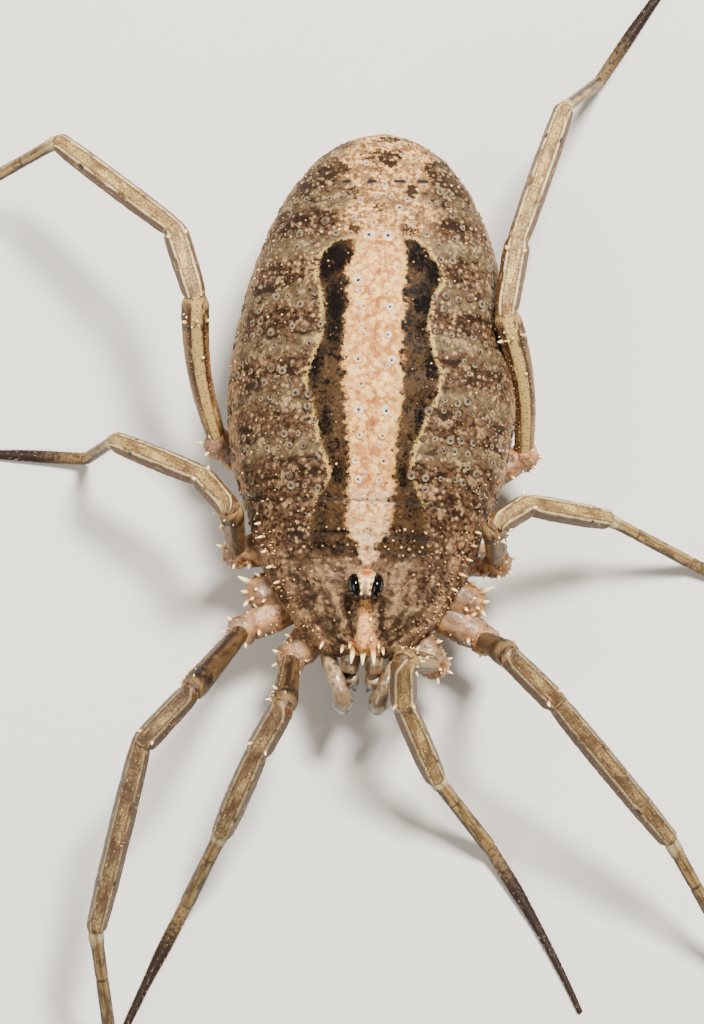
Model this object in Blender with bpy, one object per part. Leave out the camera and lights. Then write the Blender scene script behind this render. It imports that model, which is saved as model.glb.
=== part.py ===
"""A harvestman standing still, at life size.

The trunk, the eye mound, the mouthparts and every length of each leg are
separate solids. The head points along -Y and the animal's left is +X.
Sizes below are in millimetres; MM brings the finished meshes to metres.
"""
import math

import bmesh
import bpy
from mathutils import Matrix, Vector

MM = 0.001
NAME = "harvestman"

# Joint gap between neighbouring solids, and how far spine roots sink in
GAP = 0.08
ROOT_SINK = 0.05

# Trunk, from the front margin to the rear tip:
# y, half width, belly height, top height
TRUNK = (
    (-1.78, 0.00, 2.02, 2.02),
    (-1.76, 0.50, 1.72, 2.22),
    (-1.60, 0.80, 1.45, 2.42),
    (-1.22, 1.19, 1.24, 2.68),
    (-0.80, 1.48, 1.12, 2.88),
    (-0.15, 1.84, 1.02, 3.10),
    (0.60, 2.05, 0.94, 3.45),
    (1.50, 2.32, 0.88, 3.82),
    (2.70, 2.46, 0.84, 4.12),
    (4.00, 2.36, 0.90, 4.20),
    (5.20, 2.08, 1.08, 4.02),
    (6.10, 1.74, 1.36, 3.70),
    (6.85, 1.24, 1.72, 3.28),
    (7.30, 0.66, 2.08, 2.90),
    (7.48, 0.00, 2.48, 2.48),
)
TRUNK_SIDES = 36
TRUNK_RINGS = 32
TRUNK_WAIST_Y = 0.69
CLEARANCE_EXTRA = 0.02
CLEARANCE_SIDES = 24
CLEARANCE_RINGS = 22
WIDEST_SHARE = 0.45
BELLY_SQUARE = 0.86
TRUNK_SHIFT = -0.07
TRUNK_LEAN = 0.045

# Eye mound and eyes
MOUND_CENTRE = Vector((0.0, -0.74, 3.04))
MOUND_RADII = Vector((0.19, 0.29, 0.33))
MOUND_SIDES = 18
MOUND_RINGS = 12
EYE_SIDE = 0.185
EYE_CENTRE_Y = -0.76
EYE_CENTRE_Z = 3.14
EYE_RADII = Vector((0.125, 0.20, 0.185))
MOUND_ROWS = (-0.98, -0.88, -0.76, -0.64)
MOUND_ROW_SIDE = 0.085

# Trident on the front margin: side, azimuth away from straight ahead
TRIDENT = ((-0.17, -6.0), (0.0, 0.0), (0.17, 6.0))
TRIDENT_Y = -1.70
TRIDENT_Z = 2.30
TRIDENT_LENGTH = 0.44
TRIDENT_RADIUS = 0.078
TRIDENT_SIDES = 7
TRIDENT_RISE = 34.0
RIDGE_RADII = Vector((0.15, 0.42, 0.13))
RIDGE_CENTRE = Vector((0.0, -1.36, 2.58))

# Denticles on the carapace: x, y, length
MARGIN_DENTICLES = (
    (-0.70, -1.58, 0.15), (0.74, -1.60, 0.15), (-0.36, -1.66, 0.13), (0.34, -1.66, 0.14),
    (-0.23, -1.62, 0.12), (0.26, -1.61, 0.12), (-0.12, -1.50, 0.12), (0.13, -1.49, 0.12),
    (-0.06, -1.28, 0.10), (0.10, -1.22, 0.10),
)
EDGE_DENTICLE_ROWS = (-0.55, -0.30, -0.05, 0.20, 0.42)
EDGE_DENTICLE_REACH = 0.93
MARGIN_LEAN = Vector((0.0, -0.6, 0.0))
EDGE_LEAN = Vector((0.4, 0.0, 0.0))
DENTICLE_LENGTH = 0.12
MOUND_DENTICLE_LENGTH = 0.096
DENTICLE_RADIUS = 0.036
LEG_SPINE_RADIUS = 0.04
SPINE_SIDES = 5
SPINE_TIP_SHARE = 0.12

# Chelicerae, for the left one; the right mirrors it
CHELICERA_BASE = ((0.20, -1.50, 1.95), (0.205, -1.78, 1.93), (0.21, -2.04, 1.82))
CHELICERA_HAND = ((0.21, -2.06, 1.74), (0.20, -2.10, 1.40), (0.15, -2.04, 1.02))
CHELICERA_FINGERS = (((0.16, -2.10, 1.08), (0.10, -2.16, 0.76)),
                     ((0.13, -1.97, 1.08), (0.11, -2.03, 0.74)))
CHELICERA_RADIUS = 0.17
CHELICERA_BASE_SHARES = (0.9, 1.0, 0.8)
CHELICERA_HAND_SHARES = (0.9, 0.85, 0.45)
CHELICERA_SIDES = 10
FINGER_SHARE = 0.3
FINGER_SIDES = 6

# Pedipalps: upper length, then the bent lower length, for the left one
PALP_UPPER = ((0.66, -1.45, 1.62), (0.59, -1.82, 1.74), (0.44, -2.17, 1.83))
PALP_LOWER = ((0.41, -2.27, 1.85), (0.32, -2.51, 1.74), (0.32, -2.52, 1.36),
              (0.31, -2.44, 1.00), (0.28, -2.34, 0.78))
PALP_RADIUS = 0.125
PALP_UPPER_SHARES = (0.9, 0.95, 1.0)
PALP_LOWER_SHARES = (0.9, 1.5, 1.1, 0.72, 0.4)
PALP_SIDES = 9
PALP_JOINT_SHARE = 0.3

# Legs by pair: coxa root, hip point, lengths of femur, patella, tibia,
# metatarsus and tarsus, and their largest radii
PAIRS = {
    1: dict(root=(0.45, -0.80, 1.30), hip=(1.25, -1.76, 1.45),
            lengths=(2.10, 1.00, 1.75, 1.80, 3.30),
            radii=(0.225, 0.25, 0.235, 0.15, 0.115)),
    2: dict(root=(0.50, -0.25, 1.25), hip=(2.12, -1.30, 1.50),
            lengths=(3.05, 1.28, 3.35, 3.10, 6.60),
            radii=(0.225, 0.235, 0.225, 0.135, 0.11)),
    3: dict(root=(0.55, 0.40, 1.22), hip=(2.27, 0.10, 1.45),
            lengths=(1.95, 0.95, 1.80, 2.15, 3.60),
            radii=(0.20, 0.215, 0.19, 0.12, 0.105)),
    4: dict(root=(0.60, 1.00, 1.20), hip=(2.67, 2.00, 1.50),
            lengths=(3.05, 1.28, 2.78, 3.15, 4.40),
            radii=(0.235, 0.245, 0.225, 0.125, 0.105)),
}
# Pose: azimuth of each length, rise of the first three, turn of the tarsus
POSE = {
    (1, "left"): dict(azimuth=(-148, -86, -59, -44, -54), rise=(72, -50, -46), turn=-10),
    (1, "right"): dict(azimuth=(-94, -120, -114, -119, -116), rise=(56, -30, -37), turn=6),
    (2, "left"): dict(azimuth=(-66, -38, -44, -54, -58), rise=(73, -28, -30), turn=-12),
    (2, "right"): dict(azimuth=(-117, -132, -102, -79, -84), rise=(54, -14, -20), turn=-14),
    (3, "left"): dict(azimuth=(110, 42, 1, -15, -20), rise=(82, -35, -37), turn=-14),
    (3, "right"): dict(azimuth=(109, 130, 156, 168, 176), rise=(79, -24, -20), turn=10),
    (4, "left"): dict(azimuth=(102, 83, 74, 62, 61), rise=(46, 4, -14), turn=-8),
    (4, "right"): dict(azimuth=(103, 109, 142, 196, 192), rise=(43, -4, -15), turn=-10),
}
FEMUR_BOW = 0.14
ANKLE_HEIGHT = 0.27
STEEPEST_SINE = 0.97
STEEP_RISE = 0.8
LANDING_SHARE = 0.28
FOOT_PRESS = 0.8
TARSUS_TIP = 0.42
TARSUS_END = 0.8
TARSUS_STEP = 0.42
TARSUS_LEAST_STEPS = 9
TROCHANTER_RADIUS = 0.27
COXA_RADIUS = 0.35
SPINE_SEAT = 0.9
SPINE_LEAN = 0.5
KNOB_SEAT = 0.97

# Profiles along each length: share of the length, share of the radius
PROFILE = {
    "coxa": ((0.0, 0.85), (0.35, 1.0), (0.75, 0.92), (0.94, 0.72), (1.0, 0.5)),
    "femur": ((0.0, 0.52), (0.05, 0.66), (0.3, 0.76), (0.65, 0.90), (0.88, 1.0), (0.96, 0.92),
              (1.0, 0.62)),
    "patella": ((0.0, 0.55), (0.10, 0.80), (0.40, 0.94), (0.80, 1.0), (0.94, 0.92), (1.0, 0.66)),
    "tibia": ((0.0, 0.55), (0.06, 0.84), (0.35, 1.0), (0.75, 0.98), (0.94, 0.84), (1.0, 0.58)),
    "metatarsus": ((0.0, 0.75), (0.05, 1.0), (0.18, 0.92), (0.6, 0.84), (0.95, 0.86), (1.0, 0.6)),
}
SIDES = {"coxa": 12, "femur": 8, "patella": 10, "tibia": 10, "metatarsus": 7, "tarsus": 6}
KEEL = {"coxa": 0.0, "femur": 0.0, "patella": 0.13, "tibia": 0.13, "metatarsus": 0.0}
LENGTH_NAMES = ("femur", "patella", "tibia", "metatarsus", "tarsus")

# Spines on the legs: share along, degrees round from the upper side, length
FEMUR_SPINES = ((0.86, -50, 0.13), (0.88, 0, 0.14), (0.86, 50, 0.13), (0.62, 20, 0.09))
PATELLA_SPINES = ((0.84, -36, 0.10), (0.84, 36, 0.10))
TROCHANTER_SPINES = ((-70, 20, 0.14), (-25, 10, 0.17), (25, 10, 0.17), (70, 20, 0.14), (0, 55, 0.12))
COXA_SPINES = {1: ((0.62, -60, 0.13), (0.80, -60, 0.12)), 2: ((0.66, 75, 0.24), (0.86, 70, 0.18)),
               3: ((0.72, -70, 0.13), (0.90, 60, 0.13)), 4: ((0.86, 60, 0.12),)}

# Reference points of the two trunk pieces, the reach of their cutters and the
# angle beyond which an edge stays sharp
REAR_PIVOT = (0.0, 2.7, 2.4)
FRONT_PIVOT = (0.0, -0.3, 2.0)
CUT_REACH = 20.0
SHARP_DEGREES = 50.0
LEAST_FACE = 0.0005

COLOURS = {
    "trunk": ((0.30, 0.22, 0.17, 1.0), 0.62),
    "mound": ((0.80, 0.66, 0.50, 1.0), 0.55),
    "eye": ((0.01, 0.01, 0.01, 1.0), 0.08),
    "mouth": ((0.42, 0.33, 0.24, 1.0), 0.45),
    "hip": ((0.55, 0.38, 0.30, 1.0), 0.5),
    "leg": ((0.50, 0.41, 0.27, 1.0), 0.5),
    "foot": ((0.25, 0.17, 0.10, 1.0), 0.55),
}


def smooth_value(rows, column, s):
    """Value of a column at row position s, on a curve through all the rows."""
    last = len(rows) - 1
    i = min(int(s), last - 1)
    t = s - i
    a = rows[max(i - 1, 0)][column]
    b = rows[i][column]
    c = rows[i + 1][column]
    d = rows[min(i + 2, last)][column]
    slope_b = (c - a) / 2
    slope_c = (d - b) / 2
    return ((2 * t ** 3 - 3 * t ** 2 + 1) * b + (t ** 3 - 2 * t ** 2 + t) * slope_b
            + (-2 * t ** 3 + 3 * t ** 2) * c + (t ** 3 - t ** 2) * slope_c)


def station_at(y):
    """Row position on the trunk table where the body axis reaches y."""
    for i in range(len(TRUNK) - 1):
        if TRUNK[i][0] <= y <= TRUNK[i + 1][0]:
            return i + (y - TRUNK[i][0]) / (TRUNK[i + 1][0] - TRUNK[i][0])
    return 0.0


def trunk_point(s, angle, grow=0.0):
    """Point of the trunk surface: row position, angle round the axis from +X."""
    half = max(smooth_value(TRUNK, 1, s), 0.0)
    belly = smooth_value(TRUNK, 2, s)
    top = smooth_value(TRUNK, 3, s)
    y = smooth_value(TRUNK, 0, s)
    widest = belly + (top - belly) * WIDEST_SHARE
    rise = math.sin(angle)
    power = 1.0 if rise >= 0 else BELLY_SQUARE
    reach = half + grow * min(1.0, half / 0.3)
    x = reach * math.copysign(abs(math.cos(angle)) ** power, math.cos(angle))
    height = (top + grow - widest) if rise >= 0 else (widest - belly + grow)
    z = widest + height * math.copysign(abs(rise) ** power, rise)
    middle = (len(TRUNK) - 1) / 2
    y += grow * max(-1.0, min(1.0, (s - middle) / (middle - 1)))
    sway = TRUNK_SHIFT * math.sin(math.pi * min(max((y + 1.8) / 9.3, 0.0), 1.0))
    return Vector((x + sway + TRUNK_LEAN * (z - widest) * (sway / TRUNK_SHIFT), y, z))


def link(obj):
    """Put a new object in the scene's own collection."""
    bpy.context.scene.collection.objects.link(obj)
    return obj


def object_from(bm, name):
    """Turn a bmesh into an object and free it."""
    bmesh.ops.recalc_face_normals(bm, faces=bm.faces[:])
    if bm.calc_volume(signed=True) < 0:
        bmesh.ops.reverse_faces(bm, faces=bm.faces[:])
    mesh = bpy.data.meshes.new(name)
    bm.to_mesh(mesh)
    bm.free()
    return link(bpy.data.objects.new(name, mesh))


def trunk(name, grow=0.0, sides=TRUNK_SIDES, rings=TRUNK_RINGS):
    """The whole trunk: a sphere whose rings take the trunk's stations."""
    bm = bmesh.new()
    bmesh.ops.create_uvsphere(bm, u_segments=sides, v_segments=rings, radius=1.0)
    last = len(TRUNK) - 1
    for vert in bm.verts:
        ring = math.acos(max(-1.0, min(1.0, -vert.co.z))) / math.pi
        angle = math.atan2(vert.co.y, vert.co.x)
        vert.co = trunk_point(ring * last, angle, grow)
    return object_from(bm, name)


def trunk_clearance():
    """The trunk grown by the gap and a little more, with fewer sides, to cut what meets it."""
    return trunk("clear", GAP + CLEARANCE_EXTRA, CLEARANCE_SIDES, CLEARANCE_RINGS)


def ball(name, centre, radii, sides=14, rings=9):
    """An ellipsoid from a sphere primitive."""
    bm = bmesh.new()
    bmesh.ops.create_uvsphere(bm, u_segments=sides, v_segments=rings, radius=1.0)
    for vert in bm.verts:
        vert.co = Vector((vert.co.x * radii[0], vert.co.y * radii[1], vert.co.z * radii[2])) + centre
    return object_from(bm, name)


def cone(name, base, direction, length, radius, sides=SPINE_SIDES):
    """A tapered spine with its root sunk into what carries it."""
    bm = bmesh.new()
    depth = length + ROOT_SINK
    bmesh.ops.create_cone(bm, cap_ends=True, segments=sides, radius1=radius, radius2=radius * SPINE_TIP_SHARE,
                          depth=depth)
    direction = direction.normalized()
    turn = direction.to_track_quat("Z", "Y").to_matrix().to_4x4()
    middle = base + direction * (depth / 2 - ROOT_SINK)
    bm.transform(Matrix.Translation(middle) @ turn)
    return object_from(bm, name)


def box(name, low, high):
    """A box from a cube primitive, by its two corners."""
    bm = bmesh.new()
    bmesh.ops.create_cube(bm, size=1.0)
    low = Vector(low)
    high = Vector(high)
    for vert in bm.verts:
        for axis in range(3):
            vert.co[axis] = low[axis] + (high[axis] - low[axis]) * (vert.co[axis] + 0.5)
    return object_from(bm, name)


def frames(points, upper):
    """Tangent, side and upper vectors at each point of a path."""
    result = []
    count = len(points)
    for i, _ in enumerate(points):
        tangent = (points[min(i + 1, count - 1)] - points[max(i - 1, 0)]).normalized()
        upper = (upper - tangent * upper.dot(tangent)).normalized()
        result.append((tangent, tangent.cross(upper), upper))
    return result


def tube(name, points, radii, sides, upper, keel=0.0):
    """A loft along a path, with closed ends and keels where asked."""
    bm = bmesh.new()
    rings = []
    for point, radius, (_, side, up) in zip(points, radii, frames(points, upper)):
        ring = []
        for k in range(sides):
            angle = 2 * math.pi * k / sides
            reach = radius * (1.0 - (keel if k % 2 else 0.0))
            ring.append(bm.verts.new(point + (side * math.sin(angle) + up * math.cos(angle)) * reach))
        rings.append(ring)
    for a, b in zip(rings, rings[1:]):
        for k in range(sides):
            bm.faces.new((a[k], a[(k + 1) % sides], b[(k + 1) % sides], b[k]))
    bm.faces.new(list(reversed(rings[0])))
    bm.faces.new(rings[-1])
    return object_from(bm, name)


def largest_shell(bm):
    """Drop every surface but the largest connected one."""
    unseen = set(bm.verts)
    shells = []
    while unseen:
        stack = [unseen.pop()]
        shell = set(stack)
        while stack:
            for edge in stack.pop().link_edges:
                for vert in edge.verts:
                    if vert in unseen:
                        unseen.discard(vert)
                        shell.add(vert)
                        stack.append(vert)
        shells.append(shell)
    shells.sort(key=len)
    for shell in shells[:-1]:
        bmesh.ops.delete(bm, geom=list(shell), context="VERTS")


def combine(target, others, operation):
    """Apply one Boolean of a collection of closed meshes to the target."""
    if not others:
        return target
    group = bpy.data.collections.new(target.name + "_pieces")
    bpy.context.scene.collection.children.link(group)
    for other in others:
        bpy.context.scene.collection.objects.unlink(other)
        group.objects.link(other)
    modifier = target.modifiers.new("combine", "BOOLEAN")
    modifier.operation = operation
    modifier.operand_type = "COLLECTION"
    modifier.collection = group
    modifier.solver = "EXACT"
    bpy.context.view_layer.update()
    graph = bpy.context.evaluated_depsgraph_get()
    mesh = bpy.data.meshes.new_from_object(target.evaluated_get(graph))
    target.modifiers.clear()
    bm = bmesh.new()
    bm.from_mesh(mesh)
    largest_shell(bm)
    bmesh.ops.triangulate(bm, faces=bm.faces[:])
    bmesh.ops.dissolve_degenerate(bm, dist=LEAST_FACE, edges=bm.edges[:])
    bmesh.ops.triangulate(bm, faces=bm.faces[:])
    bm.to_mesh(target.data)
    bm.free()
    bpy.data.meshes.remove(mesh)
    for other in others:
        bpy.data.objects.remove(other)
    bpy.data.collections.remove(group)
    return target


def direction_of(azimuth, rise):
    """Unit vector from an azimuth and a rise in degrees."""
    a = math.radians(azimuth)
    e = math.radians(rise)
    return Vector((math.cos(e) * math.cos(a), math.cos(e) * math.sin(a), math.sin(e)))


def mirrored(points, side):
    """Points of the left side, mirrored for the right one."""
    sign = 1.0 if side == "left" else -1.0
    return [Vector((p[0] * sign, p[1], p[2])) for p in points]


def leg_joints(pair, side):
    """Hip, knee and further joints of a leg, then the points of its tarsus."""
    sizes = PAIRS[pair]
    pose = POSE[(pair, side)]
    joints = mirrored([sizes["hip"]], side)
    for k in range(3):
        step = direction_of(pose["azimuth"][k], pose["rise"][k])
        joints.append(joints[-1] + step * sizes["lengths"][k])
    drop = joints[-1].z - ANKLE_HEIGHT
    fall = -math.degrees(math.asin(min(drop / sizes["lengths"][3], STEEPEST_SINE)))
    joints.append(joints[-1] + direction_of(pose["azimuth"][3], fall) * sizes["lengths"][3])
    joints[-1].z = ANKLE_HEIGHT
    return joints


def tarsus_path(pair, side, ankle):
    """Points and radii of a tarsus that comes down and lies along the floor."""
    length = PAIRS[pair]["lengths"][4]
    radius = PAIRS[pair]["radii"][4]
    steps = max(TARSUS_LEAST_STEPS, round(length / TARSUS_STEP))
    azimuth = POSE[(pair, side)]["azimuth"][4]
    turn = POSE[(pair, side)]["turn"]
    points = []
    radii = []
    place = ankle.copy()
    for k in range(steps + 1):
        share = k / steps
        size = radius * (1.0 - (1.0 - TARSUS_TIP) * share)
        fall = max(0.0, 1.0 - share / LANDING_SHARE) ** 2
        rest = size * FOOT_PRESS
        points.append(Vector((place.x, place.y, rest + (ankle.z - rest) * fall)))
        radii.append(size * (TARSUS_END if k in (0, steps) else 1.0))
        place = place + direction_of(azimuth + turn * share, 0.0) * (length / steps)
    return points, radii


def length_path(kind, start, end, radius, grow=0.0, bow=None):
    """Points and radii of one leg length between two joints."""
    along = (end - start).normalized()
    first = start - along * grow
    last = end + along * grow
    points = []
    radii = []
    for share, size in PROFILE[kind]:
        point = first.lerp(last, share)
        if bow is not None:
            point = point + bow * math.sin(math.pi * share)
        points.append(point)
        radii.append(radius * size + grow)
    return points, radii


def upper_side(start, end, outward):
    """A vector that points to a length's upper side."""
    along = (end - start).normalized()
    up = Vector((0.0, 0.0, 1.0))
    if abs(along.z) > STEEP_RISE:
        up = outward
    return (up - along * up.dot(along)).normalized()


def spines_on(points, radii, spines, upper, name):
    """Spines on a length, each placed by share along and degrees round."""
    result = []
    start = points[0]
    end = points[-1]
    along = (end - start).normalized()
    side = along.cross(upper)
    for share, degrees, length in spines:
        a = math.radians(degrees)
        out = side * math.sin(a) + upper * math.cos(a)
        index = min(range(len(points)), key=lambda k: abs(k / (len(points) - 1) - share))
        near = start.lerp(end, share)
        reach = radii[index] * SPINE_SEAT
        lie = out + along * SPINE_LEAN
        result.append(cone(name, near + out * reach, lie, length, LEG_SPINE_RADIUS))
    return result


def material(kind):
    """The material of one kind of piece."""
    name = NAME + "_" + kind
    found = bpy.data.materials.get(name)
    if found:
        return found
    colour, roughness = COLOURS[kind]
    made = bpy.data.materials.new(name)
    made.use_nodes = True
    shader = made.node_tree.nodes["Principled BSDF"]
    shader.inputs["Base Color"].default_value = colour
    shader.inputs["Roughness"].default_value = roughness
    shader.inputs["Metallic"].default_value = 0.0
    return made


class Build:
    """Keeps the finished nodes until they are placed in metres."""

    def __init__(self):
        self.nodes = []

    def keep(self, obj, kind, pivot):
        """Record a finished object, its finish and its own reference point."""
        obj.data.materials.clear()
        obj.data.materials.append(material(kind))
        self.nodes.append((obj, Vector(pivot)))

    def place(self):
        """Stand the animal with its box's bottom centre at the origin, in metres."""
        places = [vert.co for obj, _ in self.nodes for vert in obj.data.vertices]
        low = Vector([min(place[axis] for place in places) for axis in range(3)])
        high = Vector([max(place[axis] for place in places) for axis in range(3)])
        shift = Vector((-(low.x + high.x) / 2, -(low.y + high.y) / 2, -low.z))
        parts = bpy.data.collections.new(NAME)
        bpy.context.scene.collection.children.link(parts)
        stand = bpy.data.objects.new(NAME + "_centre", None)
        parts.objects.link(stand)
        for obj, pivot in self.nodes:
            obj.data.transform(Matrix.Scale(MM, 4) @ Matrix.Translation(-pivot))
            obj.data.shade_smooth()
            obj.data.set_sharp_from_angle(angle=math.radians(SHARP_DEGREES))
            bpy.context.scene.collection.objects.unlink(obj)
            parts.objects.link(obj)
            obj.parent = stand
            obj.location = (pivot + shift) * MM


def carapace_point(x, y):
    """Point of the trunk's upper surface near a place seen from above, and its normal."""
    s = station_at(y)
    half = smooth_value(TRUNK, 1, s)
    angle = math.acos(max(-1.0, min(1.0, x / half)))
    here = trunk_point(s, angle)
    ahead = trunk_point(s + 0.1, angle)
    beside = trunk_point(s, angle + 0.1)
    normal = (beside - here).cross(ahead - here)
    if normal.z < 0:
        normal = -normal
    return here, normal.normalized()


def prosoma_denticles():
    """Small cones on the front and side margins of the carapace."""
    cones = []
    for x, y, length in MARGIN_DENTICLES:
        place, normal = carapace_point(x, y)
        cones.append(cone("denticle", place, normal + MARGIN_LEAN, length, DENTICLE_RADIUS))
    for y in EDGE_DENTICLE_ROWS:
        half = smooth_value(TRUNK, 1, station_at(y))
        for sign in (-1.0, 1.0):
            place, normal = carapace_point(sign * half * EDGE_DENTICLE_REACH, y)
            out = normal + EDGE_LEAN * sign
            cones.append(cone("denticle", place, out, DENTICLE_LENGTH, DENTICLE_RADIUS))
    return cones


def build_trunk(build):
    """Opisthosoma, and prosoma with its ridge, trident and denticles."""
    far = CUT_REACH
    rear = trunk("opisthosoma")
    ahead = box("cut", (-far, -far, -far), (far, TRUNK_WAIST_Y + GAP / 2, far))
    combine(rear, [ahead], "DIFFERENCE")
    build.keep(rear, "trunk", REAR_PIVOT)
    front = trunk("prosoma")
    additions = [ball("ridge", RIDGE_CENTRE, RIDGE_RADII)]
    for side, azimuth in TRIDENT:
        out = direction_of(-90.0 + azimuth, TRIDENT_RISE)
        base = Vector((side, TRIDENT_Y, TRIDENT_Z))
        additions.append(cone("trident", base, out, TRIDENT_LENGTH, TRIDENT_RADIUS, TRIDENT_SIDES))
    additions += prosoma_denticles()
    combine(front, additions, "UNION")
    grown = MOUND_RADII + Vector((GAP, GAP, GAP))
    mound_clear = ball("clear", MOUND_CENTRE, grown, MOUND_SIDES, MOUND_RINGS)
    behind = box("cut", (-far, TRUNK_WAIST_Y - GAP / 2, -far), (far, far, far))
    combine(front, [behind, mound_clear], "DIFFERENCE")
    build.keep(front, "trunk", FRONT_PIVOT)


def build_eyes(build):
    """The eye mound with its two rows of denticles, and an eye on each side."""
    mound = ball("ocularium", MOUND_CENTRE, MOUND_RADII, MOUND_SIDES, MOUND_RINGS)
    cones = []
    for side in (-1.0, 1.0):
        for y in MOUND_ROWS:
            x = MOUND_ROW_SIDE * side
            span = 1.0 - (x / MOUND_RADII.x) ** 2 - ((y - MOUND_CENTRE.y) / MOUND_RADII.y) ** 2
            place = Vector((x, y, MOUND_CENTRE.z + MOUND_RADII.z * math.sqrt(max(span, 0.0))))
            out = place - MOUND_CENTRE
            cones.append(cone("denticle", place, out, MOUND_DENTICLE_LENGTH, DENTICLE_RADIUS))
    combine(mound, cones, "UNION")
    clear = []
    for side, sign in (("left", 1.0), ("right", -1.0)):
        centre = Vector((EYE_SIDE * sign, EYE_CENTRE_Y, EYE_CENTRE_Z))
        eye = ball("eye_" + side, centre, EYE_RADII)
        combine(eye, [trunk_clearance()], "DIFFERENCE")
        build.keep(eye, "eye", centre)
        clear.append(ball("clear", centre, EYE_RADII + Vector((GAP, GAP, GAP)) / 2))
    combine(mound, clear, "DIFFERENCE")
    build.keep(mound, "mound", MOUND_CENTRE)


def build_chelicerae(build):
    """The two chelicerae: a base, a hand and two fingers each."""
    for side in ("left", "right"):
        up = Vector((0.0, 0.0, 1.0))
        ahead = Vector((0.0, -1.0, 0.0))
        base_points = mirrored(CHELICERA_BASE, side)
        hand_points = mirrored(CHELICERA_HAND, side)
        radii = [CHELICERA_RADIUS * k for k in CHELICERA_BASE_SHARES]
        base = tube("chelicera_" + side, base_points, radii, CHELICERA_SIDES, up)
        radii = [CHELICERA_RADIUS * k for k in CHELICERA_HAND_SHARES]
        hand = tube("hand", hand_points, radii, CHELICERA_SIDES, ahead)
        pieces = [hand]
        for start, end in CHELICERA_FINGERS:
            a, b = mirrored((start, end), side)
            thick = CHELICERA_RADIUS * FINGER_SHARE
            pieces.append(cone("finger", a, b - a, (b - a).length, thick, FINGER_SIDES))
        combine(base, pieces, "UNION")
        combine(base, [trunk_clearance()], "DIFFERENCE")
        build.keep(base, "mouth", base_points[1])


def chelicera_clearance(side):
    """A chelicera grown by the gap, to cut its neighbours clear."""
    points = mirrored(CHELICERA_BASE, side)
    points[-1] = points[-1] + Vector((0.0, -GAP, 0.0))
    radii = [CHELICERA_RADIUS + GAP] * len(points)
    return tube("clear", points, radii, CHELICERA_SIDES, Vector((0.0, 0.0, 1.0)))


def build_pedipalps(build):
    """The two pedipalps, each an upper length and a bent lower length."""
    up = Vector((0.0, 0.0, 1.0))
    for side in ("left", "right"):
        upper_points = mirrored(PALP_UPPER, side)
        lower_points = mirrored(PALP_LOWER, side)
        radii = [PALP_RADIUS * k for k in PALP_UPPER_SHARES]
        upper = tube("pedipalp_" + side + "_upper", upper_points, radii, PALP_SIDES, up)
        combine(upper, [trunk_clearance(), chelicera_clearance(side), coxa_clearance(1, side)],
                "DIFFERENCE")
        build.keep(upper, "mouth", upper_points[1])
        ahead = Vector((0.0, -1.0, 0.3))
        radii = [PALP_RADIUS * k for k in PALP_LOWER_SHARES]
        lower = tube("pedipalp_" + side + "_lower", lower_points, radii, PALP_SIDES, ahead)
        joint = upper_points[-1].lerp(lower_points[0], PALP_JOINT_SHARE)
        path = upper_points + [joint]
        grown = tube("clear", path, [PALP_RADIUS + GAP] * len(path), PALP_SIDES, up)
        combine(lower, [grown, chelicera_clearance(side)], "DIFFERENCE")
        build.keep(lower, "mouth", lower_points[1])


def coxa_clearance(pair, side):
    """A coxa with its trochanter, grown by the gap."""
    root, hip = mirrored((PAIRS[pair]["root"], PAIRS[pair]["hip"]), side)
    points, radii = length_path("coxa", root, hip, COXA_RADIUS, GAP)
    shape = tube("clear", points, radii, SIDES["coxa"], Vector((0.0, 0.0, 1.0)))
    grown = TROCHANTER_RADIUS + GAP
    return combine(shape, [ball("knob", hip, (grown, grown, grown))], "UNION")


def build_coxa(build, pair, side):
    """Coxa and trochanter of one leg, with their spines, cut clear of the trunk."""
    root, hip = mirrored((PAIRS[pair]["root"], PAIRS[pair]["hip"]), side)
    up = Vector((0.0, 0.0, 1.0))
    along = (hip - root).normalized()
    upper = (up - along * up.dot(along)).normalized()
    points, radii = length_path("coxa", root, hip, COXA_RADIUS)
    coxa = tube("leg_%d_%s_coxa" % (pair, side), points, radii, SIDES["coxa"], upper)
    pieces = [ball("knob", hip, (TROCHANTER_RADIUS,) * 3)]
    sign = 1.0 if side == "left" else -1.0
    spines = [(share, degrees * sign, length) for share, degrees, length in COXA_SPINES[pair]]
    pieces += spines_on(points, radii, spines, upper, "spine")
    heading = math.degrees(math.atan2(along.y, along.x))
    for turn, rise, length in TROCHANTER_SPINES:
        out = direction_of(heading + turn, rise)
        seat = hip + out * TROCHANTER_RADIUS * KNOB_SEAT
        pieces.append(cone("spine", seat, out, length, LEG_SPINE_RADIUS))
    combine(coxa, pieces, "UNION")
    cutters = [trunk_clearance()]
    if pair > 1:
        cutters.append(coxa_clearance(pair - 1, side))
    combine(coxa, cutters, "DIFFERENCE")
    build.keep(coxa, "hip", hip)


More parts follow.
